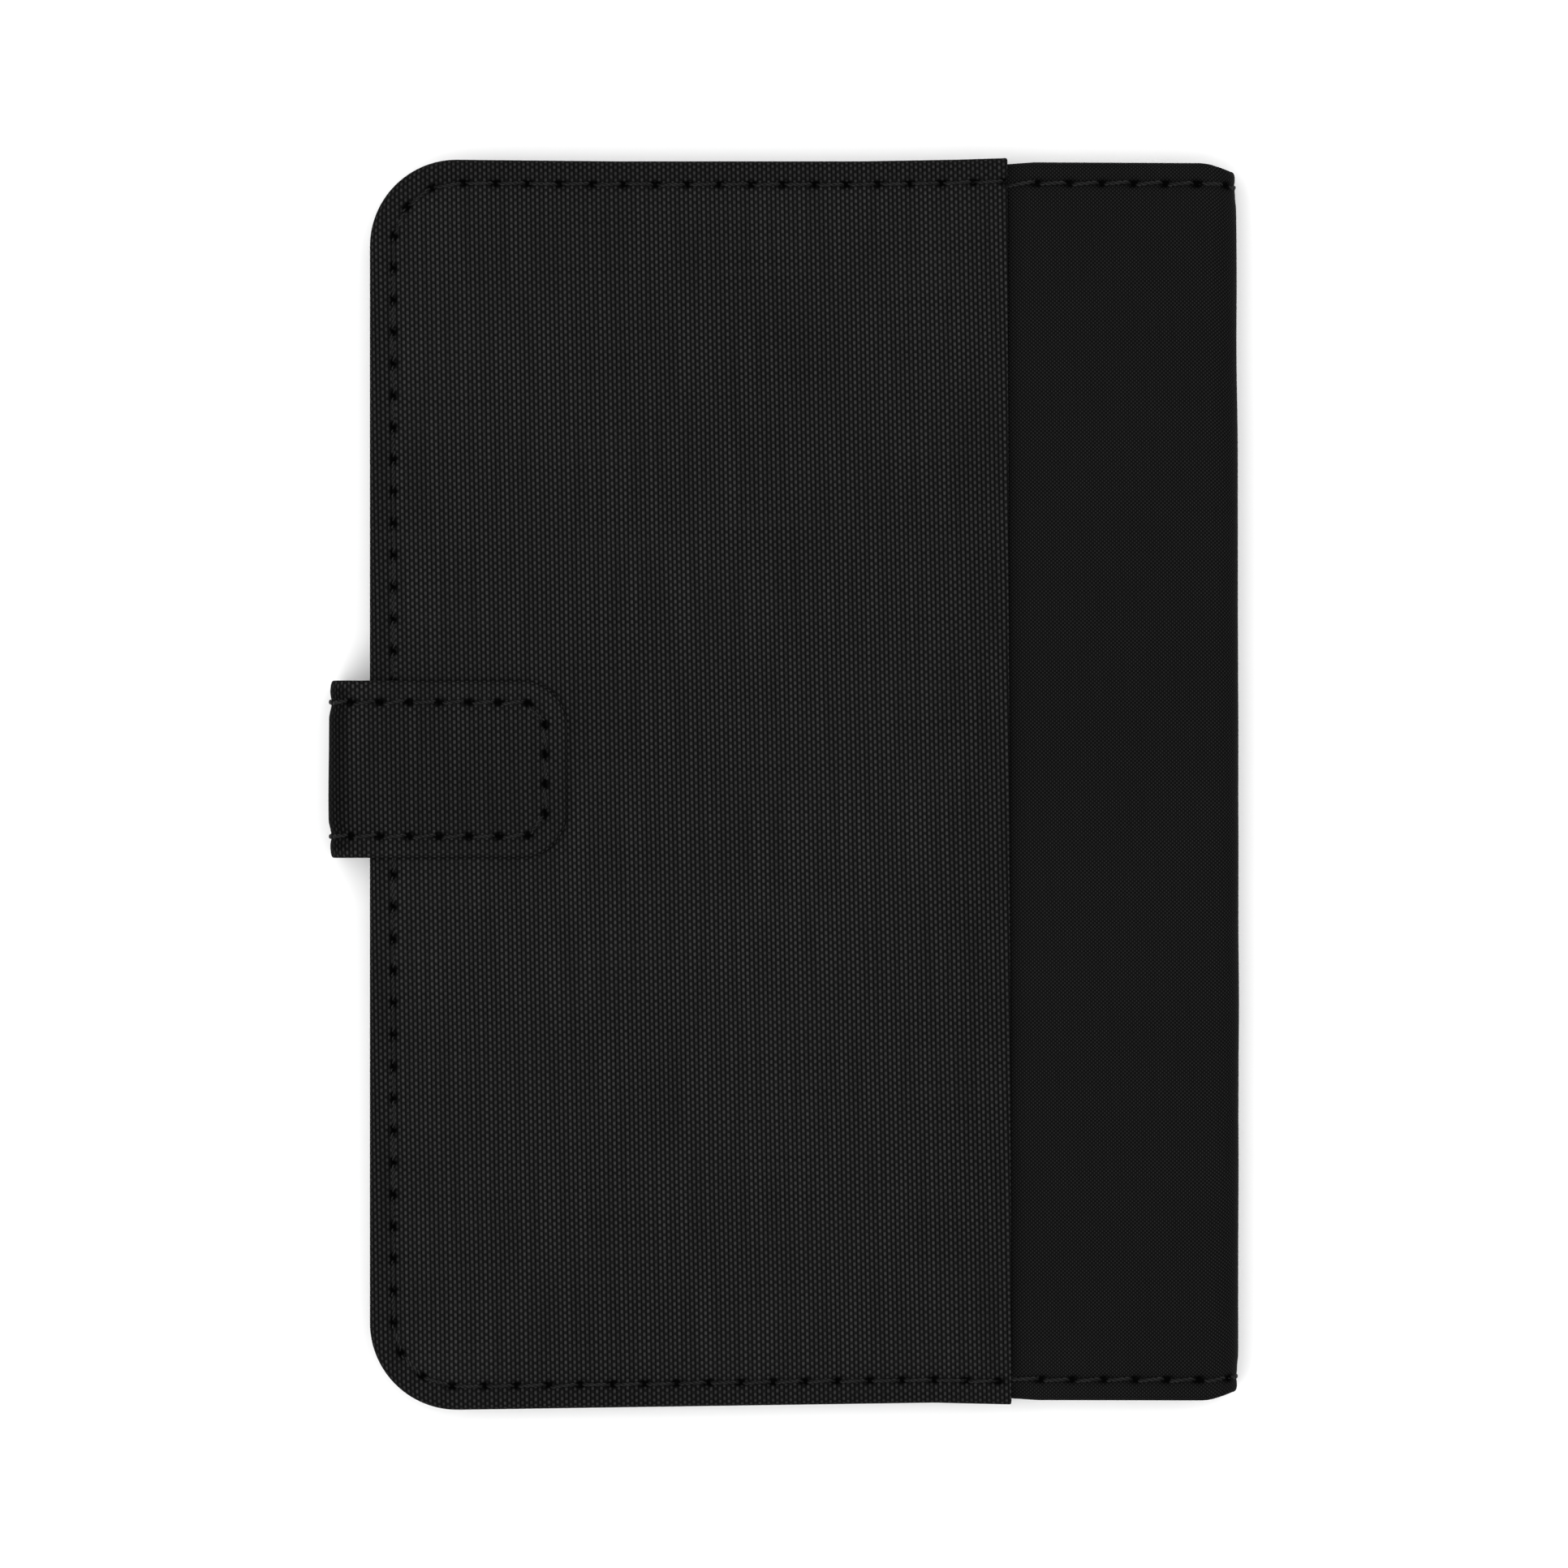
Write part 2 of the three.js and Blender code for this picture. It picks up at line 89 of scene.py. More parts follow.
# ---- Sizes of the sewing and the cloth ----
CORNER = 10.0  # outer radius at the fore edge
SEAM = 2.7  # stitch line from the edge
STITCH = 3.68  # length of a stitch
GRID = STITCH / 8  # mesh step, so that needle holes fall on vertices
THREAD = 0.37  # thickness of the twisted thread
TAB_CORNER = 5.2  # corner, seam line and stitch of the closure tab
TAB_SEAM = 2.5
TAB_STITCH = 3.36
SPINE_BEND = 3.0  # outer radius of the wrap's bend at the spine
STRAP_BEND = 2.8  # outer radius of the strap's bend over the front cover's edge


# ---- Small helpers ----
def smoothstep(x, low, high):
    t = np.clip((np.asarray(x, float) - low) / (high - low), 0, 1)
    return t * t * (3 - 2 * t)


def waves(x, y, seed, longest, shortest):
    """A smooth uneven field between about -1 and 1, the same on every run."""
    rng = np.random.default_rng(seed)
    total = np.zeros(np.shape(x))
    count = 10
    for _ in range(count):
        length = math.exp(rng.uniform(math.log(shortest), math.log(longest)))
        angle, phase = rng.uniform(0, 2 * math.pi, 2)
        along = x * math.cos(angle) + y * math.sin(angle)
        total += np.sin(2 * math.pi * along / length + phase)
    return total / math.sqrt(count)


class Path:
    """A plane line of straight and bent runs, each (length, turn in degrees)."""

    def __init__(self, start, heading, *runs):
        self.pieces = []
        point, angle, at = np.array(start, float), math.radians(heading), 0.0
        for length, turn in runs:
            turn = math.radians(turn)
            self.pieces.append((at, length, turn, point, angle))
            point = point + self.step(length, length, turn, angle)
            angle += turn
            at += length
        self.length = at

    @staticmethod
    def step(s, length, turn, angle):
        s = np.asarray(s, float)
        if not turn:
            return np.stack([s * math.cos(angle), s * math.sin(angle)], -1)
        bend = turn / length
        x = (np.sin(angle + bend * s) - math.sin(angle)) / bend
        y = (math.cos(angle) - np.cos(angle + bend * s)) / bend
        return np.stack([x, y], -1)

    def at(self, s):
        """Points and heading angles at the distances s along the line."""
        s = np.asarray(s, float)
        points, angles = np.zeros(s.shape + (2,)), np.zeros(s.shape)
        for i, (start, length, turn, point, angle) in enumerate(self.pieces):
            here = s >= start if i else np.ones(s.shape, bool)
            local = s[here] - start
            if i + 1 < len(self.pieces):
                local = np.minimum(local, length)
            points[here] = point + self.step(local, length, turn, angle)
            angles[here] = angle + turn * np.clip(local / length, 0, 1)
        return points, angles


def settled(x, y):
    """The sewn outline is a little uneven: its edges bow by up to 0.8 mm, most along the foot."""
    top = np.interp(x, [-38, -19, 9, 20, 26, 29, 50], [-0.16, -0.35, -0.35, -0.16, 0.03, 0.25, 0.15])
    foot = np.interp(x, [-37, 17, 26, 29, 50], [0.0, 0.81, 0.6, 0.4, 0.35])
    side = np.interp(y, [-60, -40, 30, 70], [-0.05, 0.06, -0.05, -0.3]) * smoothstep(x, 30, 52)
    # The woven panel's folded edge isn't quite square to the top edge.
    near_fold = smoothstep(x, -20, WOVEN_END) * (1 - smoothstep(x, WOVEN_END + 1, WOVEN_END + 20))
    side = side - 0.0033 * y * near_fold
    share = np.clip(np.abs(y) / COVER_HALF, 0, 1.1)
    return x + side, y + share * np.where(y > 0, top, foot)


class Layer:
    """Where a flat cloth lies: u along its path, v across it, h above its face."""

    def __init__(self, path, side, centre=0.0, pull=None, uneven=True):
        self.path, self.side, self.centre = path, side, centre
        self.pull, self.uneven = pull, uneven

    def place(self, u, v, h):
        points, angles = self.path.at(u)
        normal = np.stack([-np.sin(angles), np.cos(angles)], -1) * self.side
        xz = points + normal * np.asarray(h)[..., None]
        if self.pull is not None:
            v = v * (1 - self.pull(u))
        x, y = xz[..., 0], self.centre + self.side * v
        if self.uneven:
            x, y = settled(x, y)
        return np.stack([x, y, xz[..., 1]], -1)


# ---- Cloth with turned edges ----
def quarter_length(a, b):
    """Length of a quarter of an ellipse with half axes a and b."""
    return math.pi / 4 * (3 * (a + b) - np.sqrt((3 * a + b) * (a + 3 * b)))


def turn_over(sigma, a, b):
    """Inset, drop and lean of cloth that turns over an edge, sigma inside it measured on the cloth."""
    quarter = quarter_length(a, b)
    q = sigma + quarter - a
    theta = np.clip(q / quarter, -1, 1) * math.pi / 2
    inset = a * (1 - np.cos(theta)) + np.maximum(np.abs(q) - quarter, 0)
    return inset, b * (1 - np.sin(theta)), theta


def turned_cloth(us, vs, half, radius, a, b, rounded=True):
    """A cloth grid whose sides, and whose rounded end at u = 0, turn under. b may vary along u.

    ring is the distance inside the nearest edge, and theta how far the cloth leans there."""
    u, v = np.meshgrid(us, vs)
    sign = np.where(v < 0, -1.0, 1.0)
    b = np.broadcast_to(np.asarray(b, float), u.shape)
    inner_u = u if rounded else u + 1e3
    inner_v = half - np.abs(v)
    ring, other = np.minimum(inner_u, inner_v), np.maximum(inner_u, inner_v)
    inset, drop, theta = turn_over(ring, a, b)
    inset_u = turn_over(inner_u, a, b)[0] if rounded else u
    inset_v = turn_over(inner_v, a, b)[0]
    flat_u, flat_v = inset_u.copy(), sign * (half - inset_v)
    cloth_u, cloth_v = u.copy(), v.copy()
    corner = (inner_u < radius) & (inner_v < radius) & rounded
    share = (other - ring)[corner] / (radius - ring)[corner]
    is_end = (inner_u < inner_v)[corner]
    angle = np.where(is_end, 1 - share, 1 + share) * math.pi / 4
    for reach, to_u, to_v in ((inset, flat_u, flat_v), (ring, cloth_u, cloth_v)):
        r = radius - reach[corner]
        to_u[corner] = radius - r * np.cos(angle)
        to_v[corner] = sign[corner] * (half - radius + r * np.sin(angle))
    return {
        "u": flat_u, "v": flat_v, "h": -drop, "ring": ring, "theta": theta,
        "cloth_u": cloth_u, "cloth_v": cloth_v, "sign": sign, "shade": np.zeros(u.shape),
    }


def fold_end(grid, bend, under):
    """Adds columns that fold the far end of the cloth under itself."""
    turns = np.linspace(0, math.pi, 7)[1:]
    ahead = [bend * math.sin(t) for t in turns] + [-under * k / 3 for k in (1, 2, 3)]
    below = [bend * (1 - math.cos(t)) for t in turns] + [2 * bend] * 3
    used = [bend * t for t in turns] + [bend * math.pi + under * k / 3 for k in (1, 2, 3)]
    ends = {key: value[:, -1:] for key, value in grid.items()}
    ahead, below, used = (np.array(x)[None, :] for x in (ahead, below, used))
    more = {key: np.repeat(value, ahead.shape[1], 1) for key, value in ends.items()}
    more["u"] = ends["u"] + ahead
    more["h"] = ends["h"] - below * np.sin(ends["theta"])
    more["v"] = ends["v"] - ends["sign"] * below * np.cos(ends["theta"])
    more["cloth_u"] = ends["cloth_u"] + used
    more["shade"] = more["shade"] * 0
    return {key: np.concatenate([grid[key], more[key]], 1) for key in grid}


def fold_start(grid, bend, under):
    """Adds rows that fold the cloth's first row under itself, as at a pocket's mouth."""
    turns = np.linspace(math.pi, 0, 6)[:-1]
    ahead = np.array([under * k / 2 for k in (2, 1)] + [-bend * math.sin(t) for t in turns])
    below = np.array([2 * bend] * 2 + [bend * (1 - math.cos(t)) for t in turns])
    used = np.array([bend * math.pi + under * k / 2 for k in (2, 1)] + [bend * t for t in turns])
    more = {key: np.repeat(value[:1], len(ahead), 0) for key, value in grid.items()}
    more["v"] = more["v"] + ahead[:, None]
    more["h"] = more["h"] - below[:, None]
    more["cloth_v"] = more["cloth_v"] - used[:, None]
    more["shade"] = more["shade"] * 0
    return {key: np.concatenate([more[key], grid[key]], 0) for key in grid}


def stops_between(first, last, step):
    """Distances a step apart at most, from first up to last."""
    return np.linspace(first, last, max(2, int(math.ceil((last - first) / step)) + 1))


def edge_stops(a, b, under, border_end, border_step):
    """Cloth distances inside an edge: the turned hem, the roll, then the border."""
    quarter = float(np.max(quarter_length(a, np.asarray(b, float))))
    start = a - quarter
    hem = np.linspace(start - quarter - under, start - quarter, 4)[:-1]
    roll = np.linspace(start - quarter, start + quarter, 11)
    return along_stops(np.concatenate([hem, roll]), border_end, border_step)


def along_stops(stops, end, step):
    """Places along a cloth from its turned end, which has the given stops, up to its far end."""
    return np.concatenate([stops, stops_between(stops[-1], end, step)[1:]])


def across_stops(half, stops, step):
    """Places across a cloth from one edge to the other, with the given stops inside both edges."""
    sides = half - stops
    return np.concatenate([-sides, stops_between(-sides[-1], sides[-1], step)[1:-1], sides[::-1]])


def near_points(u, v, points):
    """Distance from each place to the nearest of the points."""
    nearest = np.full(u.shape, 1e3)
    for pu, pv in points:
        nearest = np.minimum(nearest, np.hypot(u - pu, v - pv))
    return nearest


# ---- Mesh making ----
def new_object(name, data):
    piece = bpy.data.objects.new(name, data)
    bpy.context.scene.collection.objects.link(piece)
    return piece


def mesh_object(name, points, faces, material):
    mesh = bpy.data.meshes.new(name)
    mesh.from_pydata((np.asarray(points) * MM).tolist(), [], faces)
    mesh.polygons.foreach_set("use_smooth", [True] * len(mesh.polygons))
    mesh.materials.append(material)
    return new_object(name, mesh)


def add_map(mesh, name, per_vertex):
    layer = mesh.uv_layers.new(name=name)
    corners = np.zeros(len(mesh.loops), np.int32)
    mesh.loops.foreach_get("vertex_index", corners)
    layer.data.foreach_set("uv", per_vertex[corners].astype(np.float32).ravel())


def cloth_object(name, grid, layer, material, flip=False):
    """A mesh of a cloth grid. Its map 'cloth' holds the place on the flat cloth, in metres."""
    points = layer.place(grid["u"], grid["v"], grid["h"])
    rows, columns = grid["u"].shape
    index = np.arange(rows * columns).reshape(rows, columns)
    quads = [index[:-1, :-1], index[:-1, 1:], index[1:, 1:], index[1:, :-1]]
    faces = np.stack(quads[::-1] if flip else quads, -1).reshape(-1, 4).tolist()
    piece = mesh_object(name, points.reshape(-1, 3), faces, material)
    cloth = np.stack([grid["cloth_u"], grid["cloth_v"]], -1).reshape(-1, 2) * MM
    add_map(piece.data, "cloth", cloth)
    low, high = cloth.min(0), cloth.max(0)
    add_map(piece.data, "OFBake", (cloth - low) / (high - low))
    shade = piece.data.attributes.new("shade", "FLOAT", "POINT")
    shade.data.foreach_set("value", grid["shade"].astype(np.float32).ravel())
    return piece


def mirrored(holes):
    """The same needle holes, seen from the cloth's other side."""
    return holes * np.array([1.0, -1.0])


def stitch_points(
    holes, seat, proud, lean=-0.06, turns=2.6, steps=26, sides=6, sink=0.4, wide=1.35, up=1.0,
    reach=0.06,
):
    """Twisted two-ply stitches from each needle hole to the next, as (u, v, h) and faces.

    seat is the cloth's height and proud a stitch's rise above it; lean slants it, turns twists it,
    sink is the depth of its ends, wide its thickness against THREAD, and up is -1 on an under side.
    """
    start, end = holes[:-1], holes[1:]
    chord = end - start
    along = chord / np.linalg.norm(chord, axis=1, keepdims=True)
    across = np.stack([-along[:, 1], along[:, 0]], -1)
    seat = np.broadcast_to(seat, len(start))
    proud = np.broadcast_to(proud, len(start))
    # A stitch dives into the cloth a little, its reach, before the middle of each needle hole.
    share = np.linspace(0, 1, steps)
    t = reach + (1 - 2 * reach) * share
    swell = 1 - np.abs(2 * share - 1) ** 3
    ply_offset, ply_radius = 0.24 * THREAD * wide, 0.27 * THREAD * wide
    ring = np.linspace(0, 2 * math.pi, sides, endpoint=False)
    rng = np.random.default_rng(len(start))
    points, faces = [], []
    for k in range(len(start)):
        lift = (proud[k] + sink) * swell - sink
        shift = (lean + rng.normal(0, 0.05)) * (1 - 2 * t) + rng.normal(0, 0.025)
        for ply in (0, 1):
            twist = 2 * math.pi * (turns * t + ply / 2 + rng.uniform(0, 0.1))
            side = shift + ply_offset * np.cos(twist)
            height = seat[k] + up * (lift + ply_offset * np.sin(twist) * 0.8)
            spread = side[:, None] + ply_radius * np.cos(ring)
            uv = start[k] + t[:, None, None] * chord[k] + spread[..., None] * across[k]
            h = height[:, None] + ply_radius * np.sin(ring)
            base = len(points) * steps * sides
            points.append(np.concatenate([uv, h[..., None]], -1).reshape(-1, 3))
            for i in range(steps - 1):
                for j in range(sides):
                    a, b = base + i * sides + j, base + i * sides + (j + 1) % sides
                    faces.append((a, a + sides, b + sides, b))
            faces.append(tuple(base + j for j in range(sides)))
            faces.append(tuple(base + (steps - 1) * sides + j for j in reversed(range(sides))))
    return np.concatenate(points), faces


# ---- Material nodes ----
class Nodes:
    """Makes a material's nodes. An argument is a number, or another node's output."""

    def __init__(self, name):
        self.material = bpy.data.materials.new(name)
        self.material.use_nodes = True
        self.tree = self.material.node_tree
        self.shader = self.tree.nodes["Principled BSDF"]

    def feed(self, socket, value):
        if isinstance(value, bpy.types.NodeSocket):
            self.tree.links.new(value, socket)
        elif value is not None:
            socket.default_value = value

    def add(self, kind, output, inputs=(), **settings):
        node = self.tree.nodes.new(kind)
        for key, value in settings.items():
            setattr(node, key, value)
        for key, value in dict(inputs).items():
            self.feed(node.inputs[key], value)
        return node.outputs[output]

    def math(self, operation, a, b=None):
        return self.add("ShaderNodeMath", 0, {0: a, 1: b}, operation=operation)

    def times(self, a, b):
        return self.math("MULTIPLY", a, b)

    def plus(self, a, b):
        return self.math("ADD", a, b)

    def lerp(self, share, a, b):
        """a at share 0 and b at share 1."""
        return self.add("ShaderNodeMix", 0, {0: share, 2: a, 3: b}, data_type="FLOAT")

    def range(self, value, low, high, to_low=0.0, to_high=1.0):
        inputs = {0: value, 1: low, 2: high, 3: to_low, 4: to_high}
        return self.add("ShaderNodeMapRange", 0, inputs)

    def noise(self, vector, scale, detail=2.0, roughness=0.5):
        inputs = {"Vector": vector, "Scale": scale, "Detail": detail, "Roughness": roughness}
        return self.add("ShaderNodeTexNoise", 0, inputs)

    def vector(self, x, y):
        return self.add("ShaderNodeCombineXYZ", 0, {0: x, 1: y})

    def split(self, vector):
        """A vector's x and y."""
        node = self.tree.nodes.new("ShaderNodeSeparateXYZ")
        self.feed(node.inputs[0], vector)
        return node.outputs[0], node.outputs[1]

    def grey(self, value, tint=(1.0, 1.0, 1.0)):
        channels = {i: self.times(value, share) for i, share in enumerate(tint)}
        return self.add("ShaderNodeCombineColor", 0, channels)

    def bump(self, height, distance):
        return self.add("ShaderNodeBump", 0, {"Height": height, "Distance": distance})

    def finish(self, colour, roughness, normal=None, **constants):
        self.feed(self.shader.inputs["Base Color"], colour)
        self.feed(self.shader.inputs["Roughness"], roughness)
        if normal is not None:
            self.feed(self.shader.inputs["Normal"], normal)
        for key, value in constants.items():
            self.shader.inputs[key.replace("_", " ")].default_value = value
        return self.material


def yarns(n, across, along, parity, width):
    """Roundness across a yarn and rise along it, for one direction of a plain weave."""
    off = n.math("SUBTRACT", n.math("FRACT", across), 0.5)
    scaled = n.times(off, 2.0 / width)
    round_across = n.math("SUBTRACT", 1.0, n.times(scaled, scaled))
    wave = n.math("COSINE", n.times(n.math("SUBTRACT", along, 0.5), math.pi))
    over = n.times(wave, n.math("COSINE", n.times(n.math("FLOOR", across), math.pi)))
    return round_across, n.times(over, parity)


def weave_material(
    name, pitch, levels, depth, skew=0.017, drift=0.12, widths=(0.92, 0.92), bias=0.0,
    shine=(0.6, 0.5), streak=0.16, **finish,
):
    """A plain weave. pitch is the yarn step along u and v in mm; levels are the brightness of the
    gaps, of the yarns that run along u and of those that run along v; depth is the relief in mm.
    skew slants the yarns and drift bends them; widths are the yarns' widths in yarn steps, bias
    brings the yarns along v to the top, shine is the range of roughness and streak the
    difference between yarns."""
    n = Nodes(name)
    place = n.add("ShaderNodeUVMap", 0, uv_map="cloth")
    x, y = n.split(place)
    bend_x = n.noise(place, 55.0, 1.0)
    bend_y = n.noise(n.add("ShaderNodeVectorMath", 0, {0: place, 1: (3.1, 1.7, 0.0)}), 55.0, 1.0)
    x = n.plus(x, n.plus(n.times(y, skew), n.times(n.math("SUBTRACT", bend_x, 0.5), drift * MM)))
    y = n.plus(y, n.plus(n.times(x, -skew * 0.5), n.times(n.math("SUBTRACT", bend_y, 0.5), drift * MM)))
    u = n.times(x, 1 / (pitch[0] * MM))
    v = n.times(y, 1 / (pitch[1] * MM))
    # Yarns that run along v stand side by side along u, and the other way round.
    round_v, over_v = yarns(n, u, v, 1.0, widths[0])
    round_u, over_u = yarns(n, v, u, -1.0, widths[1])
    height_v = n.plus(n.times(round_v, 0.5), n.times(over_v, 0.5))
    height_u = n.plus(n.times(round_u, 0.5), n.times(over_u, 0.5))
    is_v = n.math("GREATER_THAN", n.plus(height_v, bias), height_u)
    height = n.lerp(is_v, height_u, height_v)
    fibre_v = n.noise(n.vector(n.times(u, 5.0), n.times(v, 0.7)), 1.3, 2.0, 0.6)
    fibre_u = n.noise(n.vector(n.times(u, 0.7), n.times(v, 5.0)), 1.3, 2.0, 0.6)
    fibre = n.range(n.lerp(is_v, fibre_u, fibre_v), 0.3, 0.7, 0.7, 1.28)
    strand_v = n.noise(n.vector(n.math("FLOOR", u), n.times(v, 0.03)), 0.9, 0.0)
    strand_u = n.noise(n.vector(n.times(u, 0.03), n.math("FLOOR", v)), 0.9, 0.0)
    strand = n.range(n.lerp(is_v, strand_u, strand_v), 0.3, 0.7, 1 - streak, 1 + streak)
    gap, level_u, level_v = levels
    # Painted shade of the weave's relief: the gaps between yarns are darkest, and each yarn is darkened
    # towards its sides and where it dives under the crossing yarns.
    crown = n.range(n.lerp(is_v, round_u, round_v), 0.0, 0.9)
    rise = n.range(n.lerp(is_v, over_u, over_v), -0.9, 0.7, 0.16, 1.0)
    colour = n.lerp(n.times(crown, rise), gap, n.lerp(is_v, level_u, level_v))
    colour = n.times(n.times(colour, fibre), strand)
    worn = n.range(n.noise(place, 28.0, 3.0, 0.55), 0.25, 0.75, 0.92, 1.08)
    # The mesh's 'shade' attribute darkens the colour with painted shade: needle holes, seam grooves,
    # hems, creases and the strap's bend.
    shade = n.add("ShaderNodeAttribute", "Fac", attribute_name="shade")
    colour = n.times(n.times(colour, worn), n.range(shade, 0.0, 1.0, 1.0, 0.04))
    relief = n.plus(n.times(height, 0.85), n.times(fibre, 0.12))
    normal = n.bump(relief, depth * MM)
    rough = n.range(fibre, 0.7, 1.28, *shine)
    return n.finish(n.grey(colour), rough, normal, **finish)


def thread_material(name, level):
    n = Nodes(name)
    place = n.add("ShaderNodeTexCoord", "Object")
    fine = n.noise(place, 9000.0, 2.0, 0.6)
    broad = n.noise(place, 900.0, 1.0)
    fibres = n.range(fine, 0.3, 0.7, 0.6 * level, 1.5 * level)
    colour = n.times(fibres, n.range(broad, 0.3, 0.7, 0.8, 1.2))
    normal = n.bump(fine, 0.03 * MM)
    return n.finish(n.grey(colour), 0.5, normal, Specular_IOR_Level=0.1)


def board_material():
    n = Nodes("pressed_board")
    place = n.add("ShaderNodeTexCoord", "Object")
    pulp = n.noise(place, 420.0, 5.0, 0.65)
    fleck = n.range(n.noise(place, 2600.0, 2.0), 0.62, 0.72)
    level = n.math("SUBTRACT", n.range(pulp, 0.25, 0.75, 0.19, 0.29), n.times(fleck, 0.08))
    normal = n.bump(n.plus(pulp, n.times(fleck, -0.4)), 0.06 * MM)
    return n.finish(n.grey(level, (1.0, 0.87, 0.69)), n.range(pulp, 0.3, 0.7, 0.82, 0.95), normal)


def foam_material():
    n = Nodes("closed_cell_foam")
    place = n.add("ShaderNodeTexCoord", "Object")
    cells = n.add("ShaderNodeTexVoronoi", 0, {"Vector": place, "Scale": 2600.0})
    tone = n.noise(place, 160.0, 3.0)
    level = n.times(n.range(cells, 0.0, 0.8, 0.03, 0.065), n.range(tone, 0.3, 0.7, 0.85, 1.15))
    return n.finish(n.grey(level), 0.93, n.bump(cells, 0.05 * MM))


def metal_material(name, level, grain):
    n = Nodes(name)
    place = n.add("ShaderNodeTexCoord", "Object")
    x, y = n.split(place)
    streak = n.noise(n.vector(n.times(x, grain), n.times(y, 1.0)), 300.0, 3.0, 0.6)
    stain = n.noise(place, 350.0, 3.0)
    brushed = n.range(streak, 0.3, 0.7, 0.85 * level, 1.1 * level)
    colour = n.times(brushed, n.range(stain, 0.3, 0.7, 0.85, 1.05))
    rough = n.range(streak, 0.3, 0.7, 0.22, 0.42)
    return n.finish(n.grey(colour, (1.0, 0.99, 0.96)), rough, n.bump(streak, 0.004 * MM), Metallic=1.0)


CLOTH = {"Specular_IOR_Level": 0.01, "Sheen_Weight": 0.003, "Sheen_Roughness": 0.5}
woven = weave_material(
    "woven_polyester", (0.504, 0.381), (0.0029, 0.0061, 0.0268), 0.11, widths=(0.74, 1.0), bias=0.45,
    shine=(0.8, 0.7), **CLOTH,
)
smooth = weave_material(
    "fine_polyester", (0.228, 0.216), (0.0019, 0.0026, 0.0138), 0.03, skew=0.03, drift=0.3,
    shine=(0.7, 0.6), streak=0.05, **CLOTH,
)
lining_cloth = weave_material(
    "lining_polyester", (0.30, 0.27), (0.0035, 0.009, 0.019), 0.035, skew=0.0, drift=0.3,
    shine=(0.6, 0.5), **CLOTH,
)
thread = thread_material("seam_thread", 0.008)

# ---- Shapes that both covers share ----
HEM = (1.0, 1.05)  # half width and half height of the roll at a woven panel's edge
HEM_UNDER = 2.4  # cloth of the hem beyond the roll
BORDER_END = 4.2  # fine mesh steps up to here from the edge
BORDER_STEP = 0.3
BORDER_DROP = 0.3  # sewn border below the padded face
FLAT_LENGTH = WOVEN_END - FORE
FOLD_BEND = 0.24  # bend radius of the woven panel's folded edge
FOLD_UNDER = 3.0


def cover_seam():
    """The seam's line on a woven panel, from the top of its folded edge round the fore edge."""
    straight, bend = FLAT_LENGTH - CORNER, (CORNER - SEAM) * math.pi / 2
    side = 2 * (COVER_HALF - CORNER)
    runs = ((straight, 0), (bend, 90), (side, 0), (bend, 90), (straight, 0))
    return Path((FLAT_LENGTH, COVER_HALF - SEAM), 180, *runs), straight, bend, side


seam, seam_straight, seam_bend, seam_side = cover_seam()
# The first hole lies so that one falls just beside each rounded corner, on the mesh's grid.
FIRST_HOLE = (seam_straight - 0.76) % STITCH
HOLES = seam.at(np.arange(FIRST_HOLE, seam.length, STITCH))[0]


def dimples(near, ring, line, groove, depth):
    """How far the seam presses the cloth down, and the painted shade in its needle holes and along its
    groove.
    """
    across = np.minimum(np.abs(ring - line), near)
    along = np.sqrt(near**2 - across**2)
    trough = np.exp(-((across / 0.42) ** 2)) * (np.abs(ring - line) < 1.5)
    hole = np.exp(-((across / 0.33) ** 2) - (along / 0.52) ** 2)
    down = groove * trough + depth * np.exp(-((near / 0.36) ** 2))
    return down, np.clip(3.2 * hole + 0.3 * trough, 0, 1)


def woven_grid(seed, puff):
    """The woven panel of one cover: padded face, sewn border and turned edges."""
    edge = edge_stops(*HEM, HEM_UNDER, BORDER_END, BORDER_STEP)
    inside = BORDER_END + 0.2
    hole_u = FLAT_LENGTH - FIRST_HOLE
    inner_u = hole_u + GRID * np.arange(-400, 40)
    inner_u = inner_u[(inner_u > inside) & (inner_u < FLAT_LENGTH - 0.6)]
    us = np.concatenate([edge, inner_u, [FLAT_LENGTH - 0.35]])
    hole_v = COVER_HALF - CORNER - (STITCH - (seam_straight + seam_bend - FIRST_HOLE) % STITCH)
    inner_v = hole_v + GRID * np.arange(-600, 60)
    inner_v = inner_v[np.abs(inner_v) < COVER_HALF - inside]
    sides = COVER_HALF - edge
    vs = np.concatenate([-sides, inner_v, sides[::-1]])
    grid = turned_cloth(us, vs, COVER_HALF, CORNER, *HEM)
    ring, u, v = grid["ring"], grid["u"], grid["v"]
    face = smoothstep(ring, HEM[0] * 0.9, HEM[0] + 0.3)
    near = near_points(u, v, HOLES)
    h = grid["h"] - BORDER_DROP
    h += BORDER_DROP * smoothstep(ring, 3.0, 5.2)
    h += puff * (1 - np.exp(-np.maximum(ring - 3.2, 0) / 8))
    down, seam_shade = dimples(near, ring, SEAM, 0.2, 0.32)
    h -= face * (down + 0.1 * np.exp(-((near / 1.2) ** 2)))
    h += face * 0.05 * np.exp(-(((ring - SEAM) / 1.3) ** 2))
    h += face * 0.035 * waves(u, v, seed, 60, 14) * smoothstep(ring, 1.0, 7.0)
    h += face * 0.02 * waves(u, v, seed + 1, 12, 5)
    grid["h"] = h
    # Painted shade: the needle holes and the seam's groove, the sewn border and turned edge, and the
    # last millimetres before the folded edge are darkened.
    hem = 0.19 * (1 - smoothstep(ring, 2.2, 3.2))
    fold = 0.1 * smoothstep(u, FLAT_LENGTH - 9, FLAT_LENGTH - 3)
    grid["shade"] = np.maximum(face * seam_shade, np.maximum(hem, fold))
    return fold_end(grid, FOLD_BEND, FOLD_UNDER)


def flat_path(x, z, length=200.0):
    return Path((x, z), 0, (length, 0))


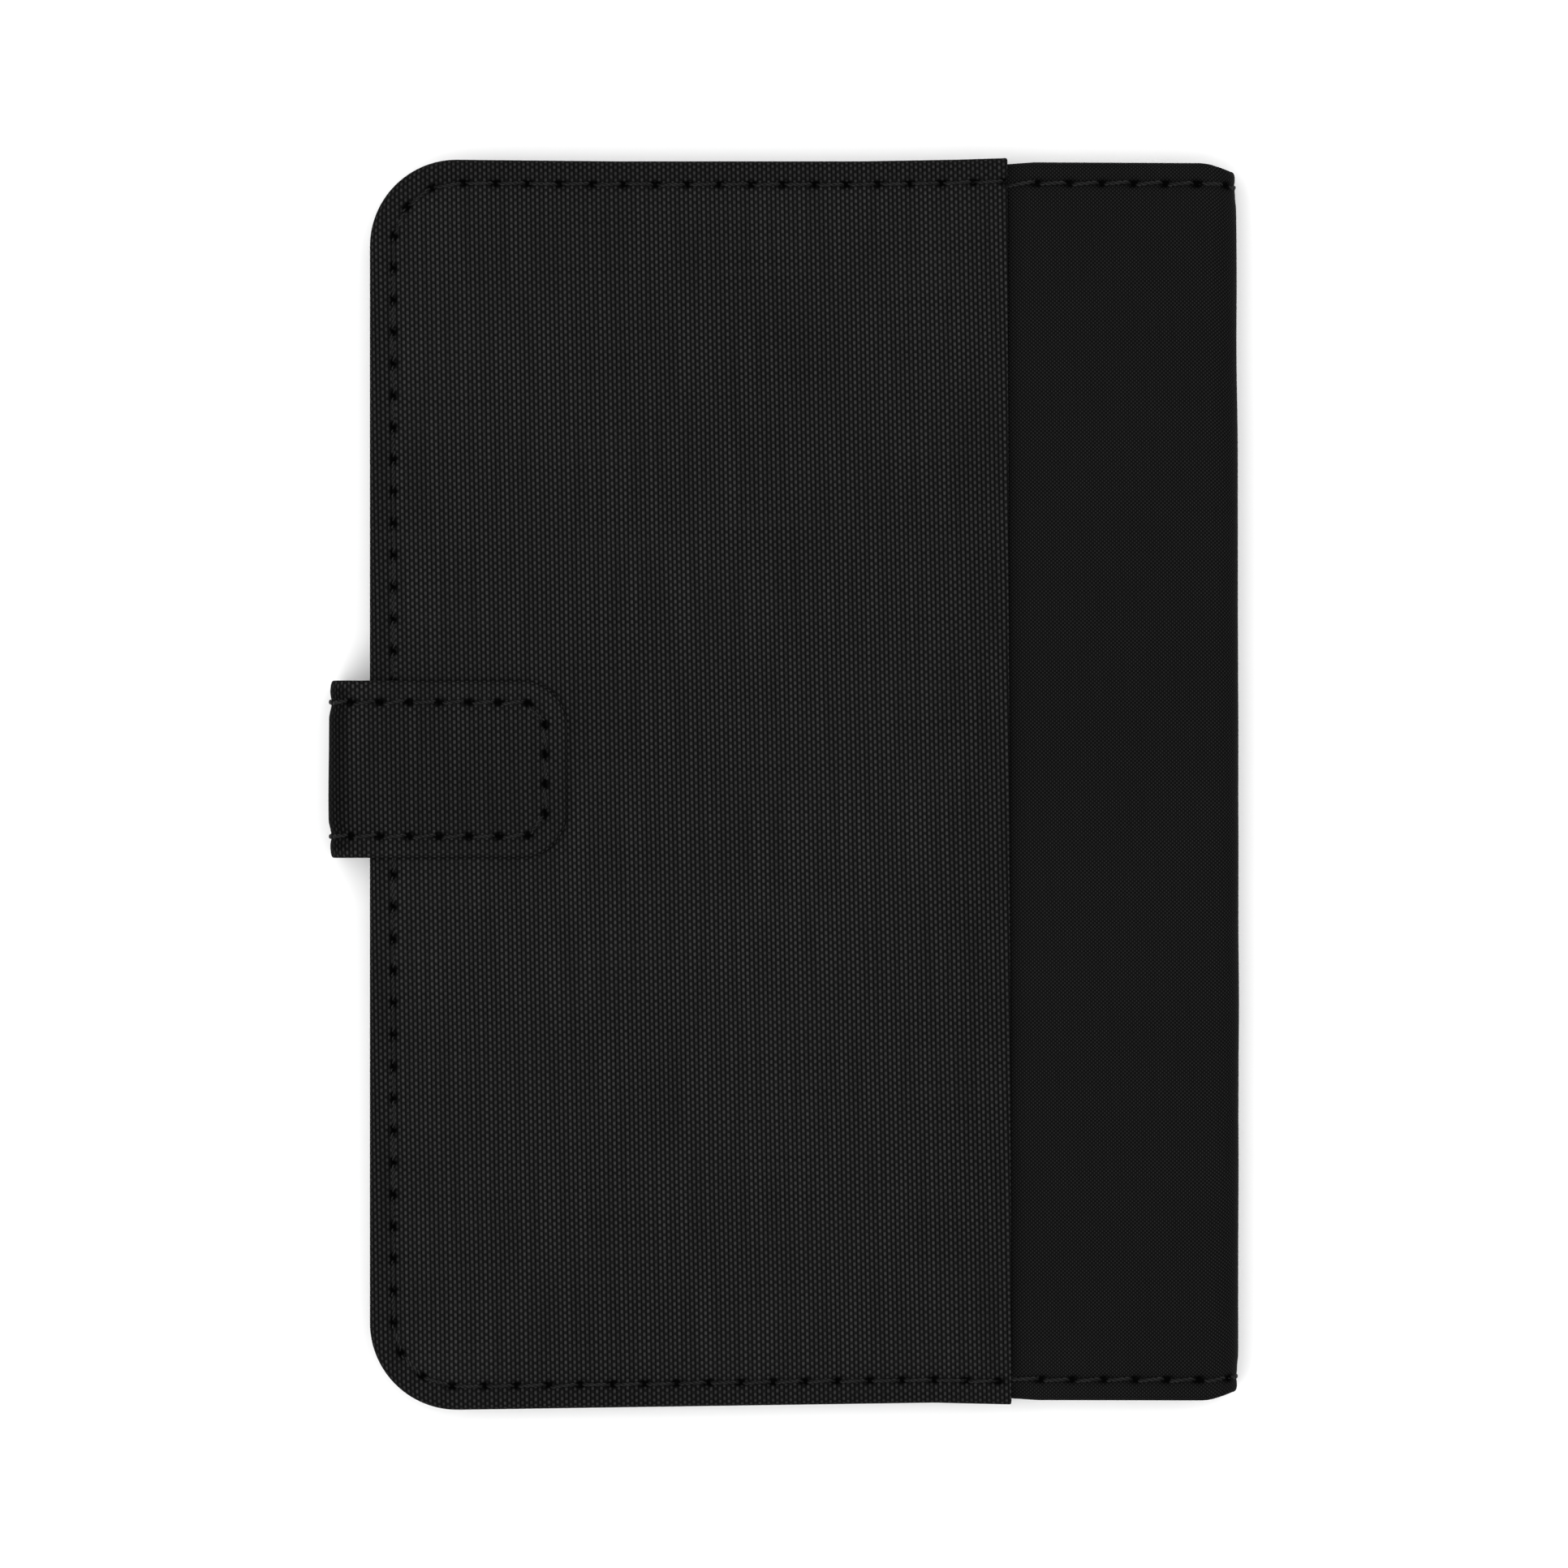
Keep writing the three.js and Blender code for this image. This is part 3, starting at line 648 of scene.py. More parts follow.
def thread_piece(name, layer, *runs):
    """One piece of thread from several runs of stitches, each (holes, options)."""
    points, faces = [], []
    for holes, options in runs:
        run_points, run_faces = stitch_points(holes, **options)
        base = sum(len(p) for p in points)
        points.append(run_points)
        faces += [tuple(base + i for i in face) for face in run_faces]
    points = np.concatenate(points)
    placed = layer.place(points[:, 0], points[:, 1], points[:, 2])
    piece = mesh_object(name, placed, faces, thread)
    return piece


# ---- Outer panels ----
COVERS = {1: ("front", "front_cover"), -1: ("back", "back_cover")}
PUFF = 0.16  # rise of the front cover's padded middle


def woven_panel(side, word, body):
    layer = Layer(flat_path(FORE, TOP if side > 0 else 0.0), side)
    grid = woven_grid(5 + side, PUFF if side > 0 else 0.0)
    panel = cloth_object(f"{word}_woven_panel", grid, layer, woven)
    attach(panel, body)
    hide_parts(f"{word}_fabric_panel")
    # The stitches along the fore edge are pulled deeper into the cloth than the others.
    at = FIRST_HOLE + STITCH * np.arange(len(HOLES) - 1)
    fore_start = seam_straight + seam_bend * 0.4
    on_fore = (at > fore_start) & (at < fore_start + seam_bend * 1.1 + seam_side)
    run = (HOLES, {"seat": -BORDER_DROP - 0.1, "proud": np.where(on_fore, -0.1, 0.15)})
    stitches = thread_piece(f"{word}_woven_seam", layer, run)
    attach(stitches, body)
    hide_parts(f"{word}_seam_thread")


# ---- Smooth wrap round the spine, one half for each cover ----
WRAP_TUCK = wrap_low[0]
WRAP_FLAT = SPINE - SPINE_BEND - WRAP_TUCK
WRAP_SEAM = 2.4  # stitch line from the wrap's edge
WRAP_HEM = 0.7  # half width of the roll at the wrap's edge
FLAT_HEM = 0.9  # half thickness of the turned edge beside the board
SPINE_HEM = 0.42  # and round the spine
WRAP_DROP = 0.12  # sewn border below the wrap's face
HALF_SPINE = SMOOTH_TOP - SPINE_BEND - MIDDLE
SPINE_PULL = 0.95  # the edges draw in where the cloth turns down the spine
SEAM_PULL = 0.65  # share of that by which the seam comes nearer to the edge


def spine_blend(piece):
    """Bakes the piece's placement into its mesh."""
    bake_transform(piece)


def wrap_pull(u):
    return SPINE_PULL / SMOOTH_HALF * smoothstep(u, WRAP_FLAT - 1.5, WRAP_FLAT + 4.0)


def wrap_grid(path, seed):
    """Half of the smooth wrap: its two sewn edges and the crease beside the woven panel's fold."""
    us = along_stops(stops_between(0, WRAP_FLAT - 2, 0.6), path.length, 0.3)
    hem = FLAT_HEM + (SPINE_HEM - FLAT_HEM) * smoothstep(us, WRAP_FLAT - 3, WRAP_FLAT + 2)
    edge = edge_stops(WRAP_HEM, hem, 2.0, BORDER_END, BORDER_STEP)
    vs = across_stops(SMOOTH_HALF, edge, 0.7)
    grid = turned_cloth(us, vs, SMOOTH_HALF, 0, WRAP_HEM, hem, rounded=False)
    u, v, ring = grid["u"], grid["v"], grid["ring"]
    holes = wrap_holes(path)
    seam_ring = WRAP_SEAM - SEAM_PULL * SMOOTH_HALF * wrap_pull(u)
    near = near_points(u, np.abs(v), holes[1:])
    top = smoothstep(ring, WRAP_HEM * 0.9, WRAP_HEM + 0.3)
    down, seam_shade = dimples(near, ring, seam_ring, 0.12, 0.25)
    shown = u > holes[0, 0] + 1
    grid["h"] = grid["h"] - top * down * shown - WRAP_DROP * (1 - smoothstep(ring, 2.8, 4.6))
    grid["h"] += 0.04 * top * waves(u, v, seed, 70, 16) * smoothstep(ring, 1, 6)
    # Painted shade: the wrap is darkened in the crease where it comes out from under the woven panel's
    # fold, and in the seam's needle holes and groove.
    beyond_fold = np.maximum(u - (WOVEN_END - WRAP_TUCK), 0)
    grid["shade"] = np.maximum(top * seam_shade * shown, 0.55 * np.exp(-beyond_fold / 0.8))
    return grid


def wrap_holes(path):
    """Needle holes along one edge of the wrap, going on from the woven panel's."""
    at = np.arange(WOVEN_END - WRAP_TUCK - FIRST_HOLE, path.length + STITCH, STITCH)
    # The seam runs on straight where the edges draw in, so it comes nearer to the edge.
    line = SMOOTH_HALF - WRAP_SEAM + SEAM_PULL * SMOOTH_HALF * wrap_pull(at)
    return np.stack([at, line], -1)


def spine_wrap(side, word):
    bend = SPINE_BEND * math.pi / 2
    face = SMOOTH_TOP if side > 0 else TOP - SMOOTH_TOP
    path = Path((WRAP_TUCK, face), 0, (WRAP_FLAT, 0), (bend, -90 * side), (HALF_SPINE, 0))
    layer = Layer(path, side, pull=wrap_pull)
    piece = cloth_object(f"{word}_smooth_wrap", wrap_grid(path, 31 + side), layer, smooth)
    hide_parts(f"{word}_spine_wrap", *(["spine_wrap"] if side > 0 else []))
    spine_blend(piece)
    # The front half's thread carries the stitch over the middle of the spine.
    holes = wrap_holes(path)[:None if side > 0 else -1]
    seat = np.full(len(holes) - 1, -0.2)
    seat[0] = 0.05  # this stitch goes over the woven panel's fold
    # Round the spine the stitches are drawn down into the cloth.
    proud = np.where(holes[1:, 0] > WRAP_FLAT + 1, -0.05, 0.22)
    options = {"seat": seat, "proud": proud, "lean": -0.16, "wide": 1.55, "reach": 0.065}
    runs = [(h, options) for h in (holes, mirrored(holes))]
    stitches = thread_piece(f"{word}_smooth_seam", layer, *runs)
    spine_blend(stitches)


# ---- Linings ----
LINING_STEP = 1.0  # lining from the cover's edge
LINING_HALF = lining_high[1]
LINING_FACE = TOP - lining_low[2]  # depth of the lining's inner face
LINING_EDGE = (0.2, 0.13)  # half width and half height of its turned edge
LINING_LENGTH = lining_high[0] - lining_low[0]
LINING_MESH = 0.9  # mesh step
LINING_STOPS = edge_stops(*LINING_EDGE, 0.6, 3.2, 0.35)
LINING_LEAD = 5.2  # the spine's lining runs this far under the cover's
INNER_BEND = 2.05


def inner_layer(side, x):
    """The inner face of a cover's lining: h grows towards the passport."""
    return Layer(flat_path(x, TOP - LINING_FACE if side > 0 else LINING_FACE), -side)


def edge_dimples(u, v, ring, inset, groove, depth):
    """The cover's seam in a cloth whose edge lies inset within the cover's."""
    near = near_points(u, v, mirrored(HOLES) - np.array([inset, 0]))
    return dimples(near, ring, SEAM - inset, groove, depth)


def cover_lining(side, word, body):
    us = along_stops(LINING_STOPS, LINING_LENGTH - 0.1, LINING_MESH)
    vs = across_stops(LINING_HALF, LINING_STOPS, LINING_MESH)
    grid = turned_cloth(us, vs, LINING_HALF, CORNER - LINING_STEP, *LINING_EDGE)
    u, v, ring = grid["u"], grid["v"], grid["ring"]
    down, seam_shade = edge_dimples(u, v, ring, LINING_STEP, 0.08, 0.15)
    top = smoothstep(ring, 0.2, 0.5)
    grid["h"] = grid["h"] - top * down + 0.03 * top * waves(u, v, 51 + side, 50, 9)
    # Painted shade in the seam's needle holes and groove.
    grid["shade"] = top * seam_shade * 0.8
    layer = inner_layer(side, FORE + LINING_STEP)
    piece = cloth_object(f"{word}_lining_sheet", fold_end(grid, 0.1, 1.0), layer, lining_cloth)
    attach(piece, body)
    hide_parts(f"{word}_lining")


def spine_lining(side, word):
    """The lining's stretch that turns from the cover to the spine's inner face."""
    inner_face = node_box("spine_lining")[0][0]
    depth = LINING_FACE - 0.25
    start = (inner_face - INNER_BEND - LINING_LEAD, TOP - depth if side > 0 else depth)
    bend = INNER_BEND * math.pi / 2
    drop = abs(start[1] - MIDDLE) - INNER_BEND
    path = Path(start, 0, (LINING_LEAD, 0), (bend, -90 * side), (drop, 0))
    layer = Layer(path, -side, pull=lambda u: SPINE_PULL / LINING_HALF * smoothstep(u, 2.5, 8.0))
    us = stops_between(0, path.length, 0.35)
    vs = across_stops(LINING_HALF, LINING_STOPS, LINING_MESH)
    grid = turned_cloth(us, vs, LINING_HALF, 0, *LINING_EDGE, rounded=False)
    grid["h"] += 0.05 * waves(grid["u"] * 0.3, grid["v"], 71 + side, 20, 6)
    piece = cloth_object(f"{word}_spine_lining", grid, layer, lining_cloth)
    if side > 0:
        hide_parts("spine_lining")
    spine_blend(piece)


# ---- Pockets ----
POCKET_STEP = slip_low[0] - FORE
POCKET_LENGTH = slip_high[0] - slip_low[0]
POCKET_HALF = -slip_low[1]
POCKET_CORNER = CORNER - POCKET_STEP
POCKET_EDGE = (0.16, 0.12)
POCKET_MESH = 0.8
POCKET_CLOTH = 0.3  # height that one sewn pocket margin takes
HEM_WIDTH = 6.0  # turned hem at a pocket's mouth
HEM_SEAM = HEM_WIDTH - 1.2  # its stitch line from the mouth
HEM_STITCH = 2.7
HEM_FINE = HEM_WIDTH + 1  # fine mesh steps up to here from the mouth
FRONT_POCKETS = ["slip_pocket", "card_pocket_1", "card_pocket_2", "card_pocket_3"]
pocket_boxes = [node_box(name) for name in FRONT_POCKETS]
pocket_feet = [box[0][1] for box in pocket_boxes]
pocket_mouths = [box[1][1] for box in pocket_boxes]


def layers_under(index, y):
    """How many pockets lie under pocket number index at the height y on the cover."""
    count = np.zeros(np.shape(y))
    for j in range(index):
        foot, mouth = pocket_feet[j], pocket_mouths[j]
        count += smoothstep(y, foot - 1.2, foot + 1.2) * (1 - smoothstep(y, mouth - 0.4, mouth + 0.8))
    return count


def seam_stack(y):
    """Height of the sewn pocket margins over the front lining."""
    return 0.03 + POCKET_CLOTH * layers_under(len(FRONT_POCKETS), y)


def pocket_hem(u, v, from_mouth, holes):
    """Extra height, pressed-down depth and painted shade (needle holes and groove) of the hem at a
    pocket's mouth.
    """
    fold = 0.1 * (1 - smoothstep(from_mouth, HEM_WIDTH, HEM_WIDTH + 0.35))
    down, seam_shade = dimples(near_points(u, v, holes), from_mouth, HEM_SEAM, 0.07, 0.14)
    return fold - down, seam_shade


def hem_thread(name, layer, body, holes, seat, proud):
    options = {"seat": seat, "proud": proud, "wide": 0.75, "turns": 2.2, "steps": 16}
    stitches = thread_piece(name, layer, (holes, options))
    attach(stitches, body)
    return stitches


def front_pocket_grid(index):
    """One of the front cover's pockets, over the pockets that lie under it."""
    mouth, foot = pocket_mouths[index], pocket_feet[index]
    at_foot = foot < 1 - POCKET_HALF
    us = along_stops(LINING_STOPS, POCKET_LENGTH - 0.1, POCKET_MESH)
    # v runs from the mouth to the foot, the other way from Y.
    end = POCKET_HALF - LINING_STOPS[-1] if at_foot else -foot
    vs = along_stops(stops_between(-mouth, -mouth + HEM_FINE, 0.35), end, POCKET_MESH)
    if at_foot:
        vs = np.concatenate([vs, (POCKET_HALF - LINING_STOPS)[::-1][1:]])
    grid = turned_cloth(us, vs, POCKET_HALF, POCKET_CORNER, *POCKET_EDGE)
    u, v, ring = grid["u"], grid["v"], grid["ring"]
    inside = np.minimum(ring, POCKET_LENGTH - u)
    under = layers_under(index, -v)
    from_mouth = v + mouth
    room = smoothstep(inside, 1.7, 7.0)
    rise = 0.35 + 0.3 * under + room * (0.3 + 0.1 * under)
    gape = 0.18 * np.exp(-np.maximum(from_mouth, 0) / 2.5) * smoothstep(inside, 4, 20)
    hem_height, hem_seam_shade = pocket_hem(u, v, from_mouth, pocket_hem_holes(index))
    edge_down, edge_seam_shade = edge_dimples(u, v, ring, POCKET_STEP, 0.05, 0.12)
    grid["h"] = grid["h"] + rise + gape + hem_height - edge_down
    grid["h"] += 0.05 * room * waves(u, v, 90 + index, 45, 10)
    # Painted shade in the needle holes and grooves of the hem's seam and the cover's seam.
    grid["shade"] = np.maximum(hem_seam_shade, edge_seam_shade) * 0.8
    return fold_start(fold_end(grid, 0.1, 1.0), 0.13, HEM_WIDTH)


def pocket_hem_holes(index):
    along = np.arange(3.0, POCKET_LENGTH - 2, HEM_STITCH)
    return np.stack([along, np.full(len(along), HEM_SEAM - pocket_mouths[index])], -1)


def front_pocket(index, name):
    layer = inner_layer(1, slip_low[0])
    piece = cloth_object(f"{name}_cloth", front_pocket_grid(index), layer, lining_cloth)
    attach(piece, "front_cover")
    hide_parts(name)
    seat = 0.68 + 0.4 * index
    holes = pocket_hem_holes(index)
    stitches = hem_thread(f"{name}_hem_seam", layer, "front_cover", holes, seat, 0.08)


def sleeve_grid(length, holes):
    hem = stops_between(length - HEM_FINE, length - 0.16, 0.35)
    us = np.concatenate([along_stops(LINING_STOPS, hem[0], POCKET_MESH), hem[1:]])
    vs = across_stops(POCKET_HALF, LINING_STOPS, POCKET_MESH)
    grid = turned_cloth(us, vs, POCKET_HALF, POCKET_CORNER, 0.2, 0.18)
    u, v, ring = grid["u"], grid["v"], grid["ring"]
    room = smoothstep(ring, 1.8, 8.0)
    from_mouth = length - u
    hem_height, hem_seam_shade = pocket_hem(u, v, from_mouth, holes)
    edge_down, edge_seam_shade = edge_dimples(u, -v, ring, POCKET_STEP, 0.06, 0.12)
    gape = 0.4 * np.exp(-from_mouth / 3) * smoothstep(ring, 4, 25)
    grid["h"] = grid["h"] + 0.4 + 0.55 * room + hem_height + gape - edge_down
    grid["h"] += 0.07 * room * waves(u, v, 120, 50, 12)
    # Painted shade in the needle holes and grooves of the hem's seam and the cover's seam.
    grid["shade"] = np.maximum(hem_seam_shade, edge_seam_shade) * 0.8
    return fold_end(grid, 0.16, HEM_WIDTH)


def passport_sleeve():
    length = sleeve_high[0] - sleeve_low[0]
    across = np.arange(3.5 - POCKET_HALF, POCKET_HALF - 3, HEM_STITCH)
    holes = np.stack([np.full(len(across), length - HEM_SEAM), across], -1)
    layer = inner_layer(-1, sleeve_low[0])
    piece = cloth_object("passport_sleeve_cloth", sleeve_grid(length, holes), layer, lining_cloth)
    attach(piece, "back_cover")
    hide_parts("passport_sleeve")
    stitches = hem_thread("passport_sleeve_hem_seam", layer, "back_cover", holes, 1.0, 0.1)


def inner_seam(side, word, body):
    """The seam's other thread, on the cover's inner face."""
    layer = inner_layer(side, FORE)
    more = np.arange(FLAT_LENGTH - FIRST_HOLE, LINING_LENGTH, STITCH)
    top = np.stack([more, np.full(len(more), COVER_HALF - SEAM)], -1)
    runs = []
    for holes in (mirrored(HOLES), top, mirrored(top)):
        middle = (holes[1:] + holes[:-1]) / 2
        if side > 0:
            seat = seam_stack(-middle[:, 1])
        else:
            seat = np.where(middle[:, 0] < sleeve_high[0] - FORE, 0.38, 0.0)
        runs.append((holes, {"seat": seat - 0.02, "proud": 0.12, "steps": 18, "turns": 2.6}))
    piece = thread_piece(f"{word}_inner_seam", layer, *runs)
    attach(piece, body)


# ---- Closure tab ----
TAB_ROLL = 0.85  # half width of the roll at the strap's edge
FLAP_HALF_THICK = 0.84  # half thickness of that edge on the flap
STRAP_HALF_THICK = 0.34  # and round the fore edge
TAB_BORDER = 0.2  # sewn border below the strap's face
TAB_HEM = 0.6  # cloth of the hem beyond the roll
BACKING_STEP = 0.6  # the strap's inner cloth from its edge
BACKING_EDGE = (0.18, 0.13)
BACKING_HALF = TAB_HALF - BACKING_STEP
BACKING_STOPS = LINING_STOPS[LINING_STOPS < 2.5]
STRAP_MIDDLE = (PIVOTS["strap_root_bend"][2] + PIVOTS["tab_lift"][2]) / 2
TAB_FLAT = TAB_TIP - STRAP_FACE - STRAP_BEND
ROOT_BEND = 2.0
ROOT_Z = 1.6  # height of the strap's outer face where it enters the cover's edge
TAIL_END = -44.0  # x of the strap's sewn-in end
TAB_TURN = (2.5, 2.4, 2.1)  # the turn's ends along the bridge and the other side, and its width


def strap_half_thick(u):
    """The padded flap thins towards the bare strap."""
    return FLAP_HALF_THICK + (STRAP_HALF_THICK - FLAP_HALF_THICK) * smoothstep(u, 20.5, 29)


def tab_paths():
    """The strap's outer face: from the tip to the middle of the fore edge, and on into the cover."""
    bend = STRAP_BEND * math.pi / 2
    down = TAB_FACE - STRAP_BEND - STRAP_MIDDLE
    upper = Path((TAB_TIP, TAB_FACE), 180, (TAB_FLAT, 0), (bend, 90), (down, 0))
    root = ROOT_BEND * math.pi / 2
    drop = STRAP_MIDDLE - ROOT_Z - ROOT_BEND
    inside = TAIL_END - STRAP_FACE - ROOT_BEND
    lower = Path((STRAP_FACE, STRAP_MIDDLE), 270, (drop, 0), (root, 90), (inside, 0))
    return upper, lower


tab_upper, tab_lower = tab_paths()


def tab_holes():
    """Needle holes round the flap, from one edge of the strap to the other."""
    bend = (TAB_CORNER - TAB_SEAM) * math.pi / 2
    straight = tab_upper.length - TAB_CORNER
    side = 2 * (TAB_HALF - TAB_CORNER)
    runs = ((straight, 0), (bend, 90), (side, 0), (bend, 90), (straight, 0))
    line = Path((tab_upper.length, TAB_HALF - TAB_SEAM), 180, *runs)
    count = round(line.length / TAB_STITCH)
    pitch = line.length / count
    return line.at(pitch * (np.arange(count) + 0.5))[0], pitch


TAB_HOLES, tab_pitch = tab_holes()
LOWER_HOLES = np.arange(tab_pitch / 2, tab_lower.length, tab_pitch)


def strap_stops(b):
    return edge_stops(TAB_ROLL, b, TAB_HEM, 4.4, 0.27)


def strap_relief(grid, holes, seed, strap_shade):
    """Border, groove, needle holes and padded middle of the strap's outer cloth."""
    u, v, ring = grid["u"], grid["v"], grid["ring"]
    top = smoothstep(ring, TAB_ROLL * 0.8, TAB_ROLL + 0.25)
    near = near_points(u, v, holes)
    down, seam_shade = dimples(near, ring, TAB_SEAM, 0.1, 0.14)
    grid["h"] = grid["h"] - TAB_BORDER + TAB_BORDER * smoothstep(ring, 2.9, 4.4)
    grid["h"] -= top * (down + 0.04 * np.exp(-((near / 1.2) ** 2)))
    grid["h"] += top * 0.07 * np.exp(-(((ring - 1.3) / 0.6) ** 2))
    grid["h"] += top * 0.03 * waves(u, v, seed, 24, 6)
    # Painted shade: the needle holes and groove, and the shade that the last argument gives along the
    # strap.
    grid["shade"] = top * np.maximum(seam_shade, strap_shade(u))
    return grid


def tab_blend(piece, is_upper):
    """Works out the points of the turn between the bridge and the flap, or between the bridge and the
    back cover, and bakes the piece's placement into its mesh.
    """
    joint = PIVOTS["tab_lift" if is_upper else "strap_root_bend"]
    away = 1 if is_upper else -1
    on_bridge, beyond, width = TAB_TURN
    bridge = (STRAP_FACE, 0, joint[2] - on_bridge * away)
    far = (STRAP_FACE + width, 0, joint[2] + beyond * away)
    bridge, far = (tuple(c * MM for c in p) for p in (bridge, far))
    if is_upper:
        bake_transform(piece)
    else:
        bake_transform(piece)


def bend_shade(u):
    """Painted shade along the strap: a little darker all over, and darker where it bends down over the
    fore edge.
    """
    return 0.1 + 0.42 * smoothstep(u, TAB_FLAT - 0.3, TAB_FLAT + 1.5)


OVER_STITCH = {"seat": -TAB_BORDER - 0.14, "proud": 0.17, "lean": -0.19}
UNDER_STITCH = {"proud": 0.1, "up": -1.0, "steps": 18}


def tab_outer():
    """The strap's outer cloth: the flap and the bridge's upper half."""
    layer = Layer(tab_upper, -1, TAB_CENTRE, uneven=False)
    flat = along_stops(strap_stops(FLAP_HALF_THICK), TAB_FLAT - 1, 0.42)
    us = along_stops(flat, tab_upper.length, 0.3)
    thick = strap_half_thick(us)
    vs = across_stops(TAB_HALF, strap_stops(thick), 0.42)
    grid = turned_cloth(us, vs, TAB_HALF, TAB_CORNER, TAB_ROLL, thick)
    grid = strap_relief(grid, TAB_HOLES, 41, bend_shade)
    piece = cloth_object("tab_flap_cloth", grid, layer, woven)
    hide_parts("tab_flap_outer", "tab_bridge_outer")
    tab_blend(piece, True)
    beyond = np.array([[tab_upper.length + tab_pitch / 2, TAB_HALF - TAB_SEAM]])
    holes = np.concatenate([beyond, TAB_HOLES, mirrored(beyond)])
    stitches = thread_piece("tab_flap_seam", layer, (holes, OVER_STITCH))
    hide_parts("tab_seam_thread")
    tab_blend(stitches, True)


def tab_inner():
    """The strap's inner cloth, a little smaller all round, with the seam's other thread."""
    layer = Layer(tab_upper, -1, TAB_CENTRE, uneven=False)
    us = along_stops(BACKING_STOPS, tab_upper.length - BACKING_STEP, 0.5)
    vs = across_stops(BACKING_HALF, BACKING_STOPS, 0.5)
    grid = turned_cloth(us, vs, BACKING_HALF, TAB_CORNER - BACKING_STEP, *BACKING_EDGE)
    grid["u"] = grid["u"] + BACKING_STEP
    grid["cloth_u"] = grid["cloth_u"] + BACKING_STEP
    near = near_points(grid["u"], grid["v"], TAB_HOLES)
    down, seam_shade = dimples(near, grid["ring"], TAB_SEAM - BACKING_STEP, 0.08, 0.16)
    top = smoothstep(grid["ring"], 0.2, 0.5)
    grid["h"] = -2 * strap_half_thick(grid["u"]) - TAB_BORDER - grid["h"] + top * down
    # Painted shade in the seam's needle holes and groove.
    grid["shade"] = top * seam_shade
    piece = cloth_object("tab_backing_cloth", grid, layer, woven, flip=True)
    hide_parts("tab_flap_inner", "tab_bridge_inner")
    tab_blend(piece, True)
    seat = -2 * strap_half_thick((TAB_HOLES[1:, 0] + TAB_HOLES[:-1, 0]) / 2) - TAB_BORDER
    run = (TAB_HOLES, {**UNDER_STITCH, "seat": seat, "turns": 2.4})
    stitches = thread_piece("tab_backing_seam", layer, run)
    tab_blend(stitches, True)


def tab_root():
    """The strap's lower half: down the fore edge and into the back cover."""
    layer = Layer(tab_lower, -1, TAB_CENTRE, uneven=False)
    us = stops_between(0, tab_lower.length, 0.35)
    vs = across_stops(TAB_HALF, strap_stops(STRAP_HALF_THICK), 0.42)
    grid = turned_cloth(us, vs, TAB_HALF, 0, TAB_ROLL, STRAP_HALF_THICK, rounded=False)
    edges = [(u, v) for u in LOWER_HOLES for v in (TAB_HALF - TAB_SEAM, TAB_SEAM - TAB_HALF)]
    # Painted shade: the strap is darkened by half all the way down the fore edge and into the cover,
    # going on from the bend's.
    grid = strap_relief(grid, edges, 43, lambda u: 0.5 * np.ones_like(u))
    outer = cloth_object("tab_root_cloth", grid, layer, woven)
    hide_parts("tab_tail")
    tab_blend(outer, False)
    vs = across_stops(BACKING_HALF, BACKING_STOPS, 0.5)
    grid = turned_cloth(us, vs, BACKING_HALF, 0, *BACKING_EDGE, rounded=False)
    grid["h"] = -2 * STRAP_HALF_THICK - TAB_BORDER - grid["h"]
    inner = cloth_object("tab_root_backing", grid, layer, woven, flip=True)
    tab_blend(inner, False)
    holes = np.stack([LOWER_HOLES, np.full(len(LOWER_HOLES), TAB_HALF - TAB_SEAM)], -1)
    under = {**UNDER_STITCH, "seat": -2 * STRAP_HALF_THICK - TAB_BORDER}
    runs = [(h, o) for h in (holes, mirrored(holes)) for o in (OVER_STITCH, under)]
    stitches = thread_piece("tab_root_seam", layer, *runs)
    tab_blend(stitches, False)


# ---- Pieces inside the covers and the tab ----
def soft_pad(node, name, body, material):
    """A foam sheet of the frame's shape with its cut edges rounded over."""
    pad = new_object(name, frame["nodes"][node].data.copy())
    pad.data.materials.clear()
    pad.data.materials.append(material)
    edge = pad.modifiers.new("rounded", "BEVEL")
    edge.width = 0.25 * MM
    edge.segments = 3
    edge.limit_method = "ANGLE"
    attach(pad, body)
    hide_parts(node)


def carried_over(node, material):
    for slot in frame["nodes"][node].material_slots:
        slot.material = material


for side, (word, body) in COVERS.items():
    woven_panel(side, word, body)
    spine_wrap(side, word)
    cover_lining(side, word, body)
    spine_lining(side, word)
    inner_seam(side, word, body)
for index, name in enumerate(FRONT_POCKETS):
    front_pocket(index, name)
passport_sleeve()
tab_outer()
tab_inner()
tab_root()

